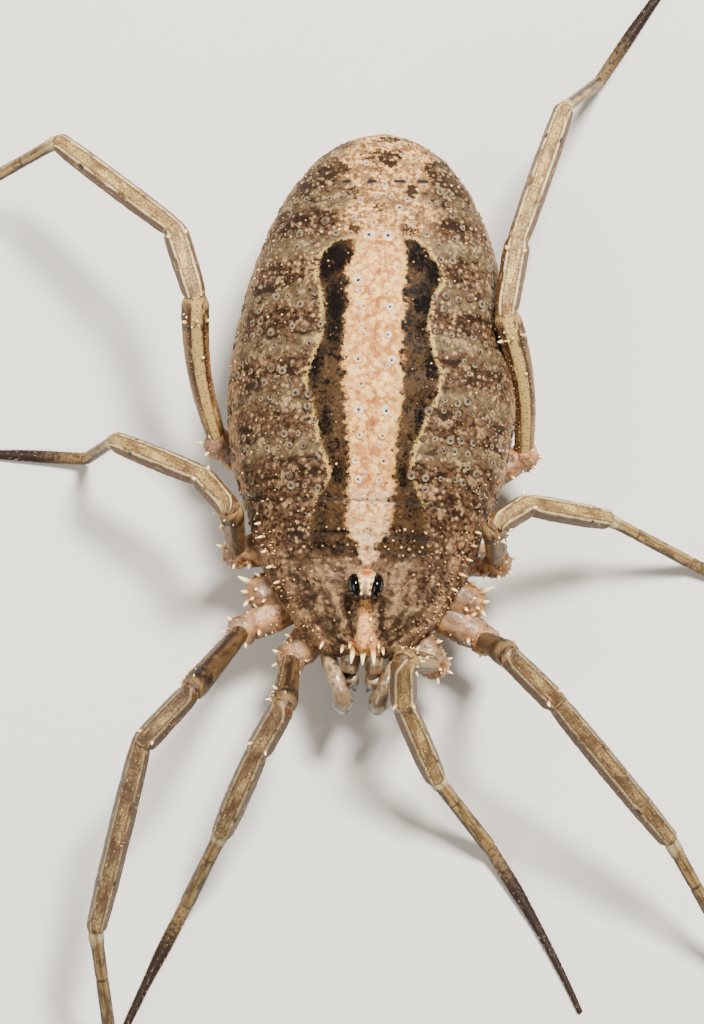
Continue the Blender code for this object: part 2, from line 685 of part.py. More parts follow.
def build_leg(build, pair, side):
    """The five lengths of one leg beyond its trochanter."""
    sizes = PAIRS[pair]
    joints = leg_joints(pair, side)
    outward = Vector((1.0 if side == "left" else -1.0, 0.0, 0.0))
    bow = outward * FEMUR_BOW if pair == 4 else None
    before = coxa_clearance(pair, side)
    for k, kind in enumerate(LENGTH_NAMES[:4]):
        start = joints[k]
        end = joints[k + 1] - (joints[k + 1] - joints[k]).normalized() * GAP
        upper = upper_side(start, end, outward)
        curve = bow if k == 0 else None
        points, radii = length_path(kind, start, end, sizes["radii"][k], bow=curve)
        name = "leg_%d_%s_%s" % (pair, side, kind)
        shape = tube(name, points, radii, SIDES[kind], upper, KEEL[kind])
        spines = {"femur": FEMUR_SPINES, "patella": PATELLA_SPINES}.get(kind, ())
        combine(shape, spines_on(points, radii, spines, upper, "spine"), "UNION")
        cutters = [before]
        if k == 0:
            cutters.append(trunk_clearance())
        combine(shape, cutters, "DIFFERENCE")
        build.keep(shape, "leg", start)
        points, radii = length_path(kind, start, end, sizes["radii"][k], GAP, curve)
        before = tube("clear", points, radii, SIDES[kind], upper)
    points, radii = tarsus_path(pair, side, joints[4])
    foot = tube("leg_%d_%s_tarsus" % (pair, side), points, radii, SIDES["tarsus"],
                Vector((0.0, 0.0, 1.0)))
    for vert in foot.data.vertices:
        vert.co.z = max(vert.co.z, 0.0)
    combine(foot, [before], "DIFFERENCE")
    build.keep(foot, "foot", joints[4])


def main():
    """Build every solid and place them."""
    for obj in list(bpy.data.objects):
        bpy.data.objects.remove(obj)
    build = Build()
    build_trunk(build)
    build_eyes(build)
    build_chelicerae(build)
    build_pedipalps(build)
    for pair in PAIRS:
        for side in ("left", "right"):
            build_coxa(build, pair, side)
            build_leg(build, pair, side)
    build.place()


main()
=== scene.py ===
"""The looks of a standing harvestman, seen from above and in front of its head.

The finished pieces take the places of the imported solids: a granular trunk, an
eye mound with two glossy eyes, mouthparts and eight striped legs. Sizes inside
the classes are in millimetres and are brought to metres when meshes are made.
"""

import logging
import math
import random
from dataclasses import dataclass, field
from enum import Enum
from typing import Iterable, Optional, Sequence

import bmesh
import bpy
import numpy as np
from mathutils import Matrix, Vector, noise


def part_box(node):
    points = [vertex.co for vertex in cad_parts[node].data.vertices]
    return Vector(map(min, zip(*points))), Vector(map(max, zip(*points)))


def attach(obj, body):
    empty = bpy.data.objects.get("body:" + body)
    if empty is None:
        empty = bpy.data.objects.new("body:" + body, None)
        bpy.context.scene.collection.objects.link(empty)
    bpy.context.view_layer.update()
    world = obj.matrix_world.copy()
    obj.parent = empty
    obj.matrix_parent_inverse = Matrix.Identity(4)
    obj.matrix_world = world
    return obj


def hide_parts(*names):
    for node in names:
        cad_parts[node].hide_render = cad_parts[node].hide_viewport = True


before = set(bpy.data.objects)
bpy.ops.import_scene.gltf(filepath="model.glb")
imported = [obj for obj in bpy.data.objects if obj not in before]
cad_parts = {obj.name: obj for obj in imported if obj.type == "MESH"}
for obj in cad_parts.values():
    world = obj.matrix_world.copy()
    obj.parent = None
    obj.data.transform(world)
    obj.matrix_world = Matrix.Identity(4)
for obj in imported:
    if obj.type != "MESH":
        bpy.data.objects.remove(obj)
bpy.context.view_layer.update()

LOG = logging.getLogger("harvestman")
MM = 0.001
DEPTH = 1.5
RICHNESS = 0.42
Colour = tuple[float, float, float, float]
Array = np.ndarray
Piece = bpy.types.Object
Material = bpy.types.Material
Socket = bpy.types.NodeSocket


def tone(red: int, green: int, blue: int) -> Colour:
    """Turn a colour on the usual 0 to 255 scale into the shader's linear one.

    Args:
        red: red share.
        green: green share.
        blue: blue share.

    Returns:
        The linear colour with full opacity.
    """
    deep = []
    for value in (red, green, blue):
        share = value / 255.0
        linear = share / 12.92 if share <= 0.04045 else ((share + 0.055) / 1.055) ** 2.4
        deep.append(linear ** DEPTH)
    grey = sum(deep) / 3.0
    rich = 1.0 + RICHNESS * max(deep) ** 0.5
    return (*[max(grey + (c - grey) * rich, 0.0) for c in deep], 1.0)


class Side(Enum):
    """Which side of the animal a piece is on, with its sign along X."""

    LEFT = 1.0
    RIGHT = -1.0

    @property
    def word(self) -> str:
        """The side's name, as the nodes spell it."""
        return self.name.lower()


class Length(Enum):
    """The lengths of a leg beyond the hip, with their number in the shader."""

    FEMUR = 0
    PATELLA = 1
    TIBIA = 2
    METATARSUS = 3

    @property
    def word(self) -> str:
        """The length's name, as the nodes spell it."""
        return self.name.lower()


@dataclass(frozen=True)
class Photo:
    """How the photograph looks at the animal, in the 704 by 1024 frame."""

    width: int = 704
    height: int = 1024
    pixels_per_mm: float = 57.6
    elevation: float = 78.0
    roll: float = 2.4
    anchor_pixel: tuple[float, float] = (367.5, 545.0)
    anchor_height: float = 3.0
    distance: float = 200.0

    def axes(self) -> tuple[Vector, Vector, Vector]:
        """Right, up and towards-the-camera directions of the picture."""
        lift = math.radians(self.elevation)
        turn = math.radians(self.roll)
        level = Vector((0.0, math.sin(lift), math.cos(lift)))
        across = Vector((1.0, 0.0, 0.0))
        right = across * math.cos(turn) + level * math.sin(turn)
        upward = level * math.cos(turn) - across * math.sin(turn)
        return right, upward, Vector((0.0, -math.cos(lift), math.sin(lift)))

    def pixels(self, points: Array) -> tuple[Array, Array]:
        """Picture coordinates of points given in millimetres."""
        right, upward, _ = self.axes()
        offset = points - np.array((0.0, 0.0, self.anchor_height))
        across = self.anchor_pixel[0] + self.pixels_per_mm * (offset @ np.array(right))
        down = self.anchor_pixel[1] - self.pixels_per_mm * (offset @ np.array(upward))
        return across, down

    def centre(self) -> Vector:
        """The point at the middle of the picture, on the level of the anchor."""
        right, upward, toward = self.axes()
        shift_x = (self.width / 2 - self.anchor_pixel[0]) / self.pixels_per_mm
        shift_y = (self.anchor_pixel[1] - self.height / 2) / self.pixels_per_mm
        return Vector((0.0, 0.0, self.anchor_height)) + right * shift_x + upward * shift_y


@dataclass(frozen=True)
class Anatomy:
    """Places the animal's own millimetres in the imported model's metres."""

    waist_face: float = 0.73

    def origin(self) -> Vector:
        """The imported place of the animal's own zero point."""
        left_low, left_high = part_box("eye_left")
        right_low, right_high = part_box("eye_right")
        middle = (left_low[0] + left_high[0] + right_low[0] + right_high[0]) / 4
        rear_low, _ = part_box("opisthosoma")
        return Vector((middle, rear_low[1] - self.waist_face * MM, 0.0))

    def metres(self, points: Array) -> Array:
        """Turn points in the animal's millimetres into packed metres."""
        return points * MM + np.array(self.origin())


PHOTO = Photo()
ANATOMY = Anatomy()


def curve_value(knots: Sequence[tuple[float, float]], values: Array) -> Array:
    """Read a smooth-enough line through knots at many places."""
    places = [knot[0] for knot in knots]
    heights = [knot[1] for knot in knots]
    return np.interp(values, places, heights)


def smooth_column(rows: Array, column: int, s: Array) -> Array:
    """Value of a column at row positions, on a curve through all the rows.

    Args:
        rows: the table.
        column: which column to read.
        s: row positions, whole or between rows.

    Returns:
        The values.
    """
    last = len(rows) - 1
    i = np.minimum(s.astype(int), last - 1)
    t = s - i
    a = rows[np.maximum(i - 1, 0), column]
    b = rows[i, column]
    c = rows[i + 1, column]
    d = rows[np.minimum(i + 2, last), column]
    slope_b = (c - a) / 2
    slope_c = (d - b) / 2
    return (2 * t ** 3 - 3 * t ** 2 + 1) * b + (t ** 3 - 2 * t ** 2 + t) * slope_b + (-2 * t ** 3 + 3
        * t ** 2) * c + (t ** 3 - t ** 2) * slope_c


def grid_faces(rows: int, columns: int) -> list[tuple[int, ...]]:
    """Quads of a grid that closes on itself across its columns."""
    faces = []
    for row in range(rows - 1):
        for column in range(columns):
            beside = (column + 1) % columns
            a = row * columns + column
            b = row * columns + beside
            faces.append((a, b, b + columns, a + columns))
    return faces


def tube_faces(rows: int, around: int) -> list[tuple[int, ...]]:
    """Faces of a tube whose two end points follow its rows of vertices."""
    faces = grid_faces(rows, around)
    first = rows * around
    last = first - around
    for k in range(around):
        beside = (k + 1) % around
        faces.append((beside, k, first))
        faces.append((last + k, last + beside, first + 1))
    return faces


def limit(values: Array) -> Array:
    """Keep values between nothing and one."""
    return np.clip(values, 0.0, 1.0)


@dataclass
class Shape:
    """Vertices, faces and point values gathered for one piece."""

    points: list = field(default_factory=list)
    faces: list = field(default_factory=list)
    values: dict = field(default_factory=dict)

    def add(self, points: Array, faces: Iterable[Sequence[int]], **values: Array) -> None:
        """Join another surface to the shape.

        Args:
            points: its vertices in millimetres.
            faces: its faces, numbered from its own first vertex.
            values: named values, one for each vertex.
        """
        base = sum(len(block) for block in self.points)
        self.points.append(points)
        self.faces.extend(tuple(base + i for i in face) for face in faces)
        for name, numbers in values.items():
            self.values.setdefault(name, []).append(np.asarray(numbers, dtype=float))

    def finish(self, name: str, uv: tuple[str, str]) -> Piece:
        """Make the object, with its values as attributes and a UV map.

        Args:
            name: the piece's name.
            uv: the two named values that the UV map is made from.

        Returns:
            The new object, smooth shaded, in metres.
        """
        points = ANATOMY.metres(np.concatenate(self.points))
        mesh = bpy.data.meshes.new(name)
        mesh.from_pydata(points.tolist(), [], self.faces)
        columns = {}
        for key, blocks in self.values.items():
            columns[key] = np.concatenate(blocks)
            layer = mesh.attributes.new(key, "FLOAT", "POINT")
            layer.data.foreach_set("value", columns[key].astype(np.float32))
        corners = np.empty(len(mesh.loops), dtype=np.int32)
        mesh.loops.foreach_get("vertex_index", corners)
        flat = np.stack((columns[uv[0]][corners], columns[uv[1]][corners]), axis=1)
        layer = mesh.uv_layers.new(name="Skin")
        layer.data.foreach_set("uv", flat.astype(np.float32).ravel())
        mesh.validate()
        mesh.shade_smooth()
        piece = put_in_scene(name, mesh)
        face_outwards(piece)
        return piece


def put_in_scene(name: str, data: bpy.types.ID) -> Piece:
    """Make an object of a mesh, camera or light and link it to the scene."""
    made = bpy.data.objects.new(name, data)
    bpy.context.scene.collection.objects.link(made)
    return made


def face_outwards(piece: Piece) -> None:
    """Turn every closed surface of a piece so that its faces point out."""
    bm = bmesh.new()
    bm.from_mesh(piece.data)
    bmesh.ops.recalc_face_normals(bm, faces=bm.faces[:])
    if bm.calc_volume(signed=True) < 0:
        bmesh.ops.reverse_faces(bm, faces=bm.faces[:])
    bm.to_mesh(piece.data)
    bm.free()


def unit_rows(rows: Array) -> Array:
    """Rows of vectors, each brought to length one."""
    return rows / (np.linalg.norm(rows, axis=1)[:, None] + 1e-12)


def soften(rows: Array, passes: int) -> Array:
    """Even out neighbouring rows, keeping the first and the last."""
    rows = rows.copy()
    for _ in range(passes):
        rows[1:-1] = (rows[:-2] + 2 * rows[1:-1] + rows[2:]) / 4
    return rows


def keel_wave(angle: Array) -> Array:
    """Height of five keels round a section, none of them on top."""
    return np.abs(np.cos(2.5 * (angle + np.pi / 5))) ** 5


@dataclass
class Course:
    """Cross sections along a limb: places, upper sides, radii and keels."""

    points: Array
    uppers: Array
    radii: Array
    keels: Array
    values: dict

    def frames(self) -> tuple[Array, Array, Array]:
        """Tangent, side and upper directions of every section."""
        tangents = unit_rows(np.gradient(self.points, axis=0))
        uppers = self.uppers - tangents * np.sum(self.uppers * tangents, axis=1)[:, None]
        uppers = unit_rows(uppers)
        return tangents, np.cross(tangents, uppers), uppers

    def sweep(self, shape: Shape, around: int, keel_depth: float = 0.14, lumps: float = 0.0,
              lump_scale: float = 4.0) -> None:
        """Join the closed tube of this course to a shape.

        Args:
            shape: what the tube joins.
            around: how many sides it has.
            keel_depth: how far the faces sink between keels, as a share.
            lumps: height of soft lumps, as a share of the radius.
            lump_scale: how close together the lumps are.
        """
        _, across, uppers = self.frames()
        count = len(self.points)
        angle = np.linspace(-np.pi, np.pi, around, endpoint=False)
        wave = keel_wave(angle)
        reach = 1.0 - self.keels[:, None] * keel_depth * (1.0 - wave[None, :])
        out = np.sin(angle)[None, :, None] * across[:, None, :] + np.cos(angle)[None, :, None] * uppers[:,
            None, :]
        base = self.points[:, None, :] + out * (self.radii[:, None] * reach)[:, :, None]
        if lumps:
            flat = base.reshape(-1, 3)
            swell = np.array([noise.noise(Vector(p) * lump_scale) + 0.5 * noise.noise(Vector(p)
                * lump_scale * 2.7) for p in flat])
            swell = swell.reshape(count, around) * lumps * self.radii[:, None]
            base = base + out * swell[:, :, None]
        blocks = np.concatenate((base.reshape(-1, 3), self.points[:1], self.points[-1:]))
        named = {}
        for key, column in self.values.items():
            column = np.asarray(column, dtype=float)
            named[key] = np.concatenate((np.repeat(column, around), (column[0], column[-1])))
        named["round"] = np.concatenate((np.tile(angle / np.pi, count), (0.0, 0.0)))
        girth = angle[None, :] * self.radii[:, None]
        named["girth"] = np.concatenate((girth.ravel(), (0.0, 0.0)))
        named["keel"] = np.concatenate(((self.keels[:, None] * wave[None, :]).ravel(), (0.0, 0.0)))
        shape.add(blocks, tube_faces(count, around), **named)

    def ahead(self, index: int) -> Vector:
        """The way from one section to the next."""
        return Vector(self.points[index + 1] - self.points[index]).normalized()

    def seat(self, index: int, degrees: float, sink: float = 0.96) -> tuple[Vector, Vector]:
        """A place on the tube's surface and the direction outwards.

        Args:
            index: number of the section.
            degrees: angle round from the upper side.
            sink: share of the radius at which the place lies.

        Returns:
            The place and its outward direction.
        """
        low = max(index - 1, 0)
        high = min(index + 1, len(self.points) - 1)
        tangent = Vector(self.points[high] - self.points[low]).normalized()
        upper = Vector(self.uppers[index])
        upper = (upper - tangent * upper.dot(tangent)).normalized()
        turn = math.radians(degrees)
        out = tangent.cross(upper) * math.sin(turn) + upper * math.cos(turn)
        wave = float(keel_wave(np.array([turn]))[0])
        reach = 1.0 - float(self.keels[index]) * 0.14 * (1.0 - wave)
        return Vector(self.points[index]) + out * float(self.radii[index]) * reach * sink, out


class Term:
    """An output of a material's node, which can stand in plain arithmetic."""

    def __init__(self, graph: "Graph", socket: Socket) -> None:
        """Remember the output and the graph that it belongs to."""
        self.graph = graph
        self.socket = socket

    def __add__(self, other: object) -> "Term":
        """The sum of this and another."""
        return self.graph.sum("ADD", self, other)

    def __radd__(self, other: object) -> "Term":
        """The sum of another and this."""
        return self.graph.sum("ADD", other, self)

    def __sub__(self, other: object) -> "Term":
        """This less another."""
        return self.graph.sum("SUBTRACT", self, other)

    def __rsub__(self, other: object) -> "Term":
        """Another less this."""
        return self.graph.sum("SUBTRACT", other, self)

    def __mul__(self, other: object) -> "Term":
        """The product of this and another."""
        return self.graph.sum("MULTIPLY", self, other)

    def __abs__(self) -> "Term":
        """This without its sign."""
        return self.graph.sum("ABSOLUTE", self)


class Graph:
    """A short way to write a material's nodes."""

    def __init__(self, name: str) -> None:
        """Start a material with its principled shader."""
        self.material = bpy.data.materials.new(name)
        self.material.use_nodes = True
        self.tree = self.material.node_tree
        self.shader = self.tree.nodes["Principled BSDF"]

    def put(self, socket: Socket, value: object) -> None:
        """Link an output to a socket, or set the socket's own value."""
        value = value.socket if isinstance(value, Term) else value
        if isinstance(value, Socket):
            self.tree.links.new(value, socket)
        elif value is not None:
            socket.default_value = value

    def node(self, kind: str, inputs: Optional[dict] = None, **settings: object) -> bpy.types.Node:
        """Add a node.

        Args:
            kind: the node's type.
            inputs: socket values or links, by name or number.
            settings: the node's own properties.

        Returns:
            The node.
        """
        made = self.tree.nodes.new(kind)
        for key, value in settings.items():
            setattr(made, key, value)
        for key, value in (inputs or {}).items():
            self.put(made.inputs[key], value)
        return made

    def sum(self, kind: str, a: object, b: object = None, clamp: bool = False) -> Term:
        """One step of arithmetic."""
        made = self.node("ShaderNodeMath", operation=kind, use_clamp=clamp)
        for socket, value in zip(made.inputs, (a, b)):
            self.put(socket, value)
        return Term(self, made.outputs[0])

    def value(self, name: str) -> Term:
        """A named value of the piece's vertices."""
        return Term(self, self.node("ShaderNodeAttribute", attribute_name=name).outputs["Fac"])

    def spread(self, value: object, low: float, high: float) -> Term:
        """A soft step from 0 at low to 1 at high."""
        made = self.node("ShaderNodeMapRange", {0: value, 1: low, 2: high, 3: 0.0, 4: 1.0},
            interpolation_type="SMOOTHSTEP")
        return Term(self, made.outputs[0])

    def mix(self, share: object, a: object, b: object, kind: str = "MIX") -> Term:
        """Mix two colours."""
        made = self.node("ShaderNodeMix", data_type="RGBA", blend_type=kind)
        self.put(made.inputs[0], share)
        self.put(made.inputs[6], a)
        self.put(made.inputs[7], b)
        return Term(self, made.outputs[2])

    def cloud(self, place: object, scale: float, detail: float = 3.0, rough: float = 0.55,
              warp: float = 0.0) -> Term:
        """Soft noise."""
        made = self.node("ShaderNodeTexNoise", {"Vector": place, "Scale": scale, "Detail": detail,
            "Roughness": rough, "Distortion": warp})
        return Term(self, made.outputs[0])

    def cells(self, place: object, scale: float, loose: float = 1.0) -> bpy.types.Node:
        """Cell noise; its Distance and Color outputs are used."""
        return self.node("ShaderNodeTexVoronoi", {"Vector": place, "Scale": scale, "Randomness": loose})

    def object_place(self) -> Socket:
        """The piece's own coordinates, in millimetres."""
        place = self.node("ShaderNodeTexCoord").outputs["Object"]
        made = self.node("ShaderNodeVectorMath", {0: place, "Scale": 1.0 / MM}, operation="SCALE")
        return made.outputs[0]

    def skin_place(self, scale: tuple[float, float, float] = (1.0, 1.0, 1.0)) -> Socket:
        """The piece's UV map, stretched where asked."""
        place = self.node("ShaderNodeUVMap", uv_map="Skin").outputs[0]
        return self.node("ShaderNodeMapping", {"Vector": place, "Scale": scale}).outputs[0]

    def bump(self, height: object, strength: float, distance: float) -> Socket:
        """Fine relief for the shader."""
        made = self.node("ShaderNodeBump", {"Height": height, "Strength": strength, "Distance": distance})
        return made.outputs[0]

    def dress(self, colour: object, rough: object, normal: object = None, **sockets: object) -> \
            Material:
        """Set the shader and hand the material over."""
        self.put(self.shader.inputs["Base Color"], colour)
        self.put(self.shader.inputs["Roughness"], rough)
        self.put(self.shader.inputs["Normal"], normal)
        for name, value in sockets.items():
            self.put(self.shader.inputs[name.replace("_", " ")], value)
        return self.material


@dataclass(frozen=True)
class TrunkFinish:
    """Granular brown cuticle with the dark saddle and its pale middle band."""

    side_dark: Colour = tone(60, 44, 32)
    side_mid: Colour = tone(126, 103, 84)
    side_pale: Colour = tone(186, 166, 140)
    belt_grey: Colour = tone(132, 120, 98)
    saddle: Colour = tone(33, 20, 6)
    saddle_soft: Colour = tone(104, 85, 63)
    rim: Colour = tone(206, 184, 142)
    band: Colour = tone(230, 202, 162)
    band_deep: Colour = tone(200, 164, 130)
    band_rust: Colour = tone(164, 120, 90)
    hoary: Colour = tone(208, 196, 176)
    flank: Colour = tone(190, 164, 138)
    belly: Colour = tone(160, 146, 126)
    rear_cream: Colour = tone(228, 203, 167)
    hood: Colour = tone(122, 103, 86)
    hood_dark: Colour = tone(66, 50, 40)
    hood_pale: Colour = tone(168, 148, 124)
    edge_pink: Colour = tone(180, 152, 128)
    ridge: Colour = tone(210, 178, 146)
    line: Colour = tone(64, 64, 68)

    def build(self) -> Material:
        """Make the material."""
        g = Graph("trunk_cuticle")
        flat = g.skin_place()
        fine = g.cloud(flat, 12.0, 4.0, 0.7)
        soft = g.cloud(flat, 3.4, 5.0, 0.68)
        band_wise = g.cloud(g.skin_place((0.8, 2.0, 1.0)), 2.3, 5.0, 0.68)
        grit = fine - 0.5
        drift = soft - 0.5
        cells = g.cells(flat, 9.0, 1.0)
        far = cells.outputs["Distance"] + grit * 0.7
        bead = g.spread(far, 0.46, 0.14) * g.spread(cells.outputs["Color"], 0.15, 0.85)
        seam = g.spread(far, 0.4, 0.66)
        belt = g.value("belt")
        base = g.mix(g.spread(fine, 0.38, 0.6), self.side_dark, self.side_mid)
        base = g.mix(belt * g.spread(soft, 0.35, 0.58), base, self.belt_grey)
        dark = band_wise - belt * 0.06
        dark = dark + g.value("blotch") * 0.16
        dark = g.spread(dark + grit * 0.25, 0.5, 0.59)
        base = g.mix(dark * 0.85, base, self.side_dark)
        base = g.mix(bead * 0.85, base, self.side_pale)
        base = g.mix(g.spread(soft, 0.55, 0.64) * 0.55, base, self.side_pale)
        rear = g.mix(g.spread(fine, 0.42, 0.58), self.rear_cream, self.band_rust)
        rear = g.mix(g.spread(soft, 0.5, 0.58) * 0.8, rear, self.side_mid)
        rear = g.mix(g.spread(band_wise, 0.5, 0.58) * 0.7, rear, self.side_mid)
        rear = g.mix(seam * 0.4, rear, self.side_mid)
        rear = g.mix(bead * 0.8, rear, self.rear_cream)
        spot = g.value("blotch") + (drift * 1.5 + grit * 2.4)
        spot = g.spread(spot, 0.3, 0.56)
        rear = g.mix(spot * 0.9, rear, self.side_dark)
        base = g.mix(g.value("rear"), base, rear)
        base = g.mix(g.value("flank") * g.spread(fine, 0.6, 0.44), base, self.flank)
        under = g.mix(g.spread(band_wise, 0.42, 0.6), self.belly, self.side_mid)
        under = g.mix(g.spread(fine, 0.5, 0.64) * 0.6, under, self.side_dark)
        base = g.mix(g.value("under"), base, under)
        spray = g.node("ShaderNodeCombineXYZ", {0: g.value("ray") * 5.0, 1: g.value("reach") * 1.5})
        rays = g.cloud(spray.outputs[0], 1.0, 5.0, 0.7)
        hood = g.mix(g.spread(soft, 0.44, 0.6), self.hood, self.hood_pale)
        hood = g.mix(g.spread(fine, 0.52, 0.62) * 0.6, hood, self.hood_pale)
        hood = g.mix(g.spread(fine, 0.46, 0.36) * 0.7, hood, self.hood_dark)
        hood = g.mix(g.spread(rays, 0.5, 0.6) * 0.7, hood, self.hood_dark)
        hood = g.mix(g.spread(rays, 0.46, 0.38) * 0.6, hood, self.hood_pale)
        pink = g.value("pink") * g.spread(soft + grit, 0.44, 0.6)
        base = g.mix(pink * 0.5, base, self.edge_pink)
        hood = g.mix(pink * 0.9, hood, self.edge_pink)
        fold = g.value("fold") + (grit + drift)
        # Painted shade in the sunken folds of the front part.
        hood = g.mix(g.spread(fold, 0.25, 0.75) * 0.75, hood, self.hood_dark)
        # Painted light on the raised crests between the folds.
        hood = g.mix(g.spread(fold, -0.3, -0.8) * 0.6, hood, self.hood_pale)
        hood = g.mix(spot * 0.7, hood, self.hood_dark)
        hood = g.mix(g.spread(fine, 0.5, 0.64) * 0.6, hood, self.hood_dark)
        hood = g.mix(bead * 0.6, hood, self.edge_pink)
        hood = g.mix(g.value("ridge"), hood, g.mix(g.spread(fine, 0.45, 0.66), self.ridge,
            self.band_rust))
        colour = g.mix(g.value("hood"), base, hood)
        ragged = grit * 0.3 + drift * 0.2
        saddle = g.value("saddle") + ragged
        mild = g.value("mild")
        tide = soft + grit + mild * 0.06
        brown = g.mix(g.spread(tide, 0.36, 0.6), self.saddle, self.saddle_soft)
        brown = g.mix(bead * (0.35 + mild * 0.4), brown, self.side_mid)
        patch = g.value("black") + (drift * 2.6 + grit * 4.2)
        patch = g.spread(patch, 0.2, 1.0) * (1.0 - bead * 0.4)
        inner = g.mix(patch, brown, self.saddle)
        inside = g.spread(saddle, -0.02, 0.03)
        colour = g.mix(inside, colour, inner)
        edge = g.spread(abs(saddle + 0.03), 0.055, 0.01) * g.value("rim")
        edge = edge * g.spread(soft + grit, 0.36, 0.52)
        colour = g.mix(edge * 0.75, colour, self.rim)
        pale = g.mix(g.spread(soft, 0.42, 0.62), self.band, self.band_deep)
        pale = g.mix(seam * 0.85, pale, self.band_deep)
        net = g.spread(far, 0.46, 0.62) * g.spread(soft, 0.42, 0.58)
        pale = g.mix(net * 0.6, pale, self.band_rust)
        pale = g.mix(g.spread(fine, 0.52, 0.64) * 0.7, pale, self.band_rust)
        pale = g.mix(bead * 0.5, pale, self.hoary)
        dash = g.spread(abs(g.value("middle")), 0.06, 0.015) * g.spread(soft, 0.48, 0.56)
        pale = g.mix(dash * 0.85, pale, self.band_rust)
        pale = g.mix(g.value("hoary") * g.spread(fine, 0.58, 0.44), pale, self.hoary)
        pale = g.mix(g.value("rear"), pale, rear)
        band = g.value("band") + (ragged + drift * 0.35)
        colour = g.mix(g.spread(band, -0.05, 0.06), colour, pale)
        margin = g.spread(abs(band - 0.07), 0.08, 0.03) * g.value("rim")
        colour = g.mix(margin * g.spread(soft, 0.44, 0.66), colour, self.rim)
        colour = g.mix(g.sum("MULTIPLY", g.value("line"), 0.85, clamp=True), colour, self.line)
        relief = fine * 0.55 + bead * 0.35
        rough = 0.44 + fine * 0.3 + patch * inside * 0.2
        return g.dress(colour, rough, g.bump(relief, 0.85, 0.04 * MM), Specular_IOR_Level=0.09)


@dataclass(frozen=True)
class RingFinish:
    """Grey wart-like rings with a dark dot; paler where they lie in the band."""

    grey: Colour = tone(150, 138, 118)
    inner: Colour = tone(126, 116, 100)
    dot: Colour = tone(54, 46, 42)
    foot: Colour = tone(104, 82, 62)
    pale: Colour = tone(214, 206, 190)
    pale_inner: Colour = tone(204, 198, 186)
    pale_dot: Colour = tone(76, 68, 66)
    pale_foot: Colour = tone(208, 172, 136)

    def build(self) -> Material:
        """Make the material."""
        g = Graph("ring_cuticle")
        inward = g.value("tip")
        shade = g.value("shade")
        place = g.object_place()
        fine = g.cloud(place, 14.0, 4.0, 0.65)
        foot = g.mix(shade, self.foot, self.pale_foot)
        high = g.mix(shade, self.grey, self.pale)
        high = g.mix(g.spread(g.cloud(place, 6.0, 4.0), 0.44, 0.58), high, foot)
        ragged = inward + (fine - 0.5) * 0.3
        colour = g.mix(g.spread(ragged, 0.04, 0.2), foot, high)
        colour = g.mix(g.spread(ragged, 0.48, 0.62), colour, g.mix(shade, self.inner, self.pale_inner))
        colour = g.mix(g.spread(ragged, 0.66, 0.78), colour, g.mix(shade, self.dot, self.pale_dot))
        return g.dress(colour, 0.42 + fine * 0.3, g.bump(fine, 0.4, 0.02 * MM), Specular_IOR_Level=0.25)


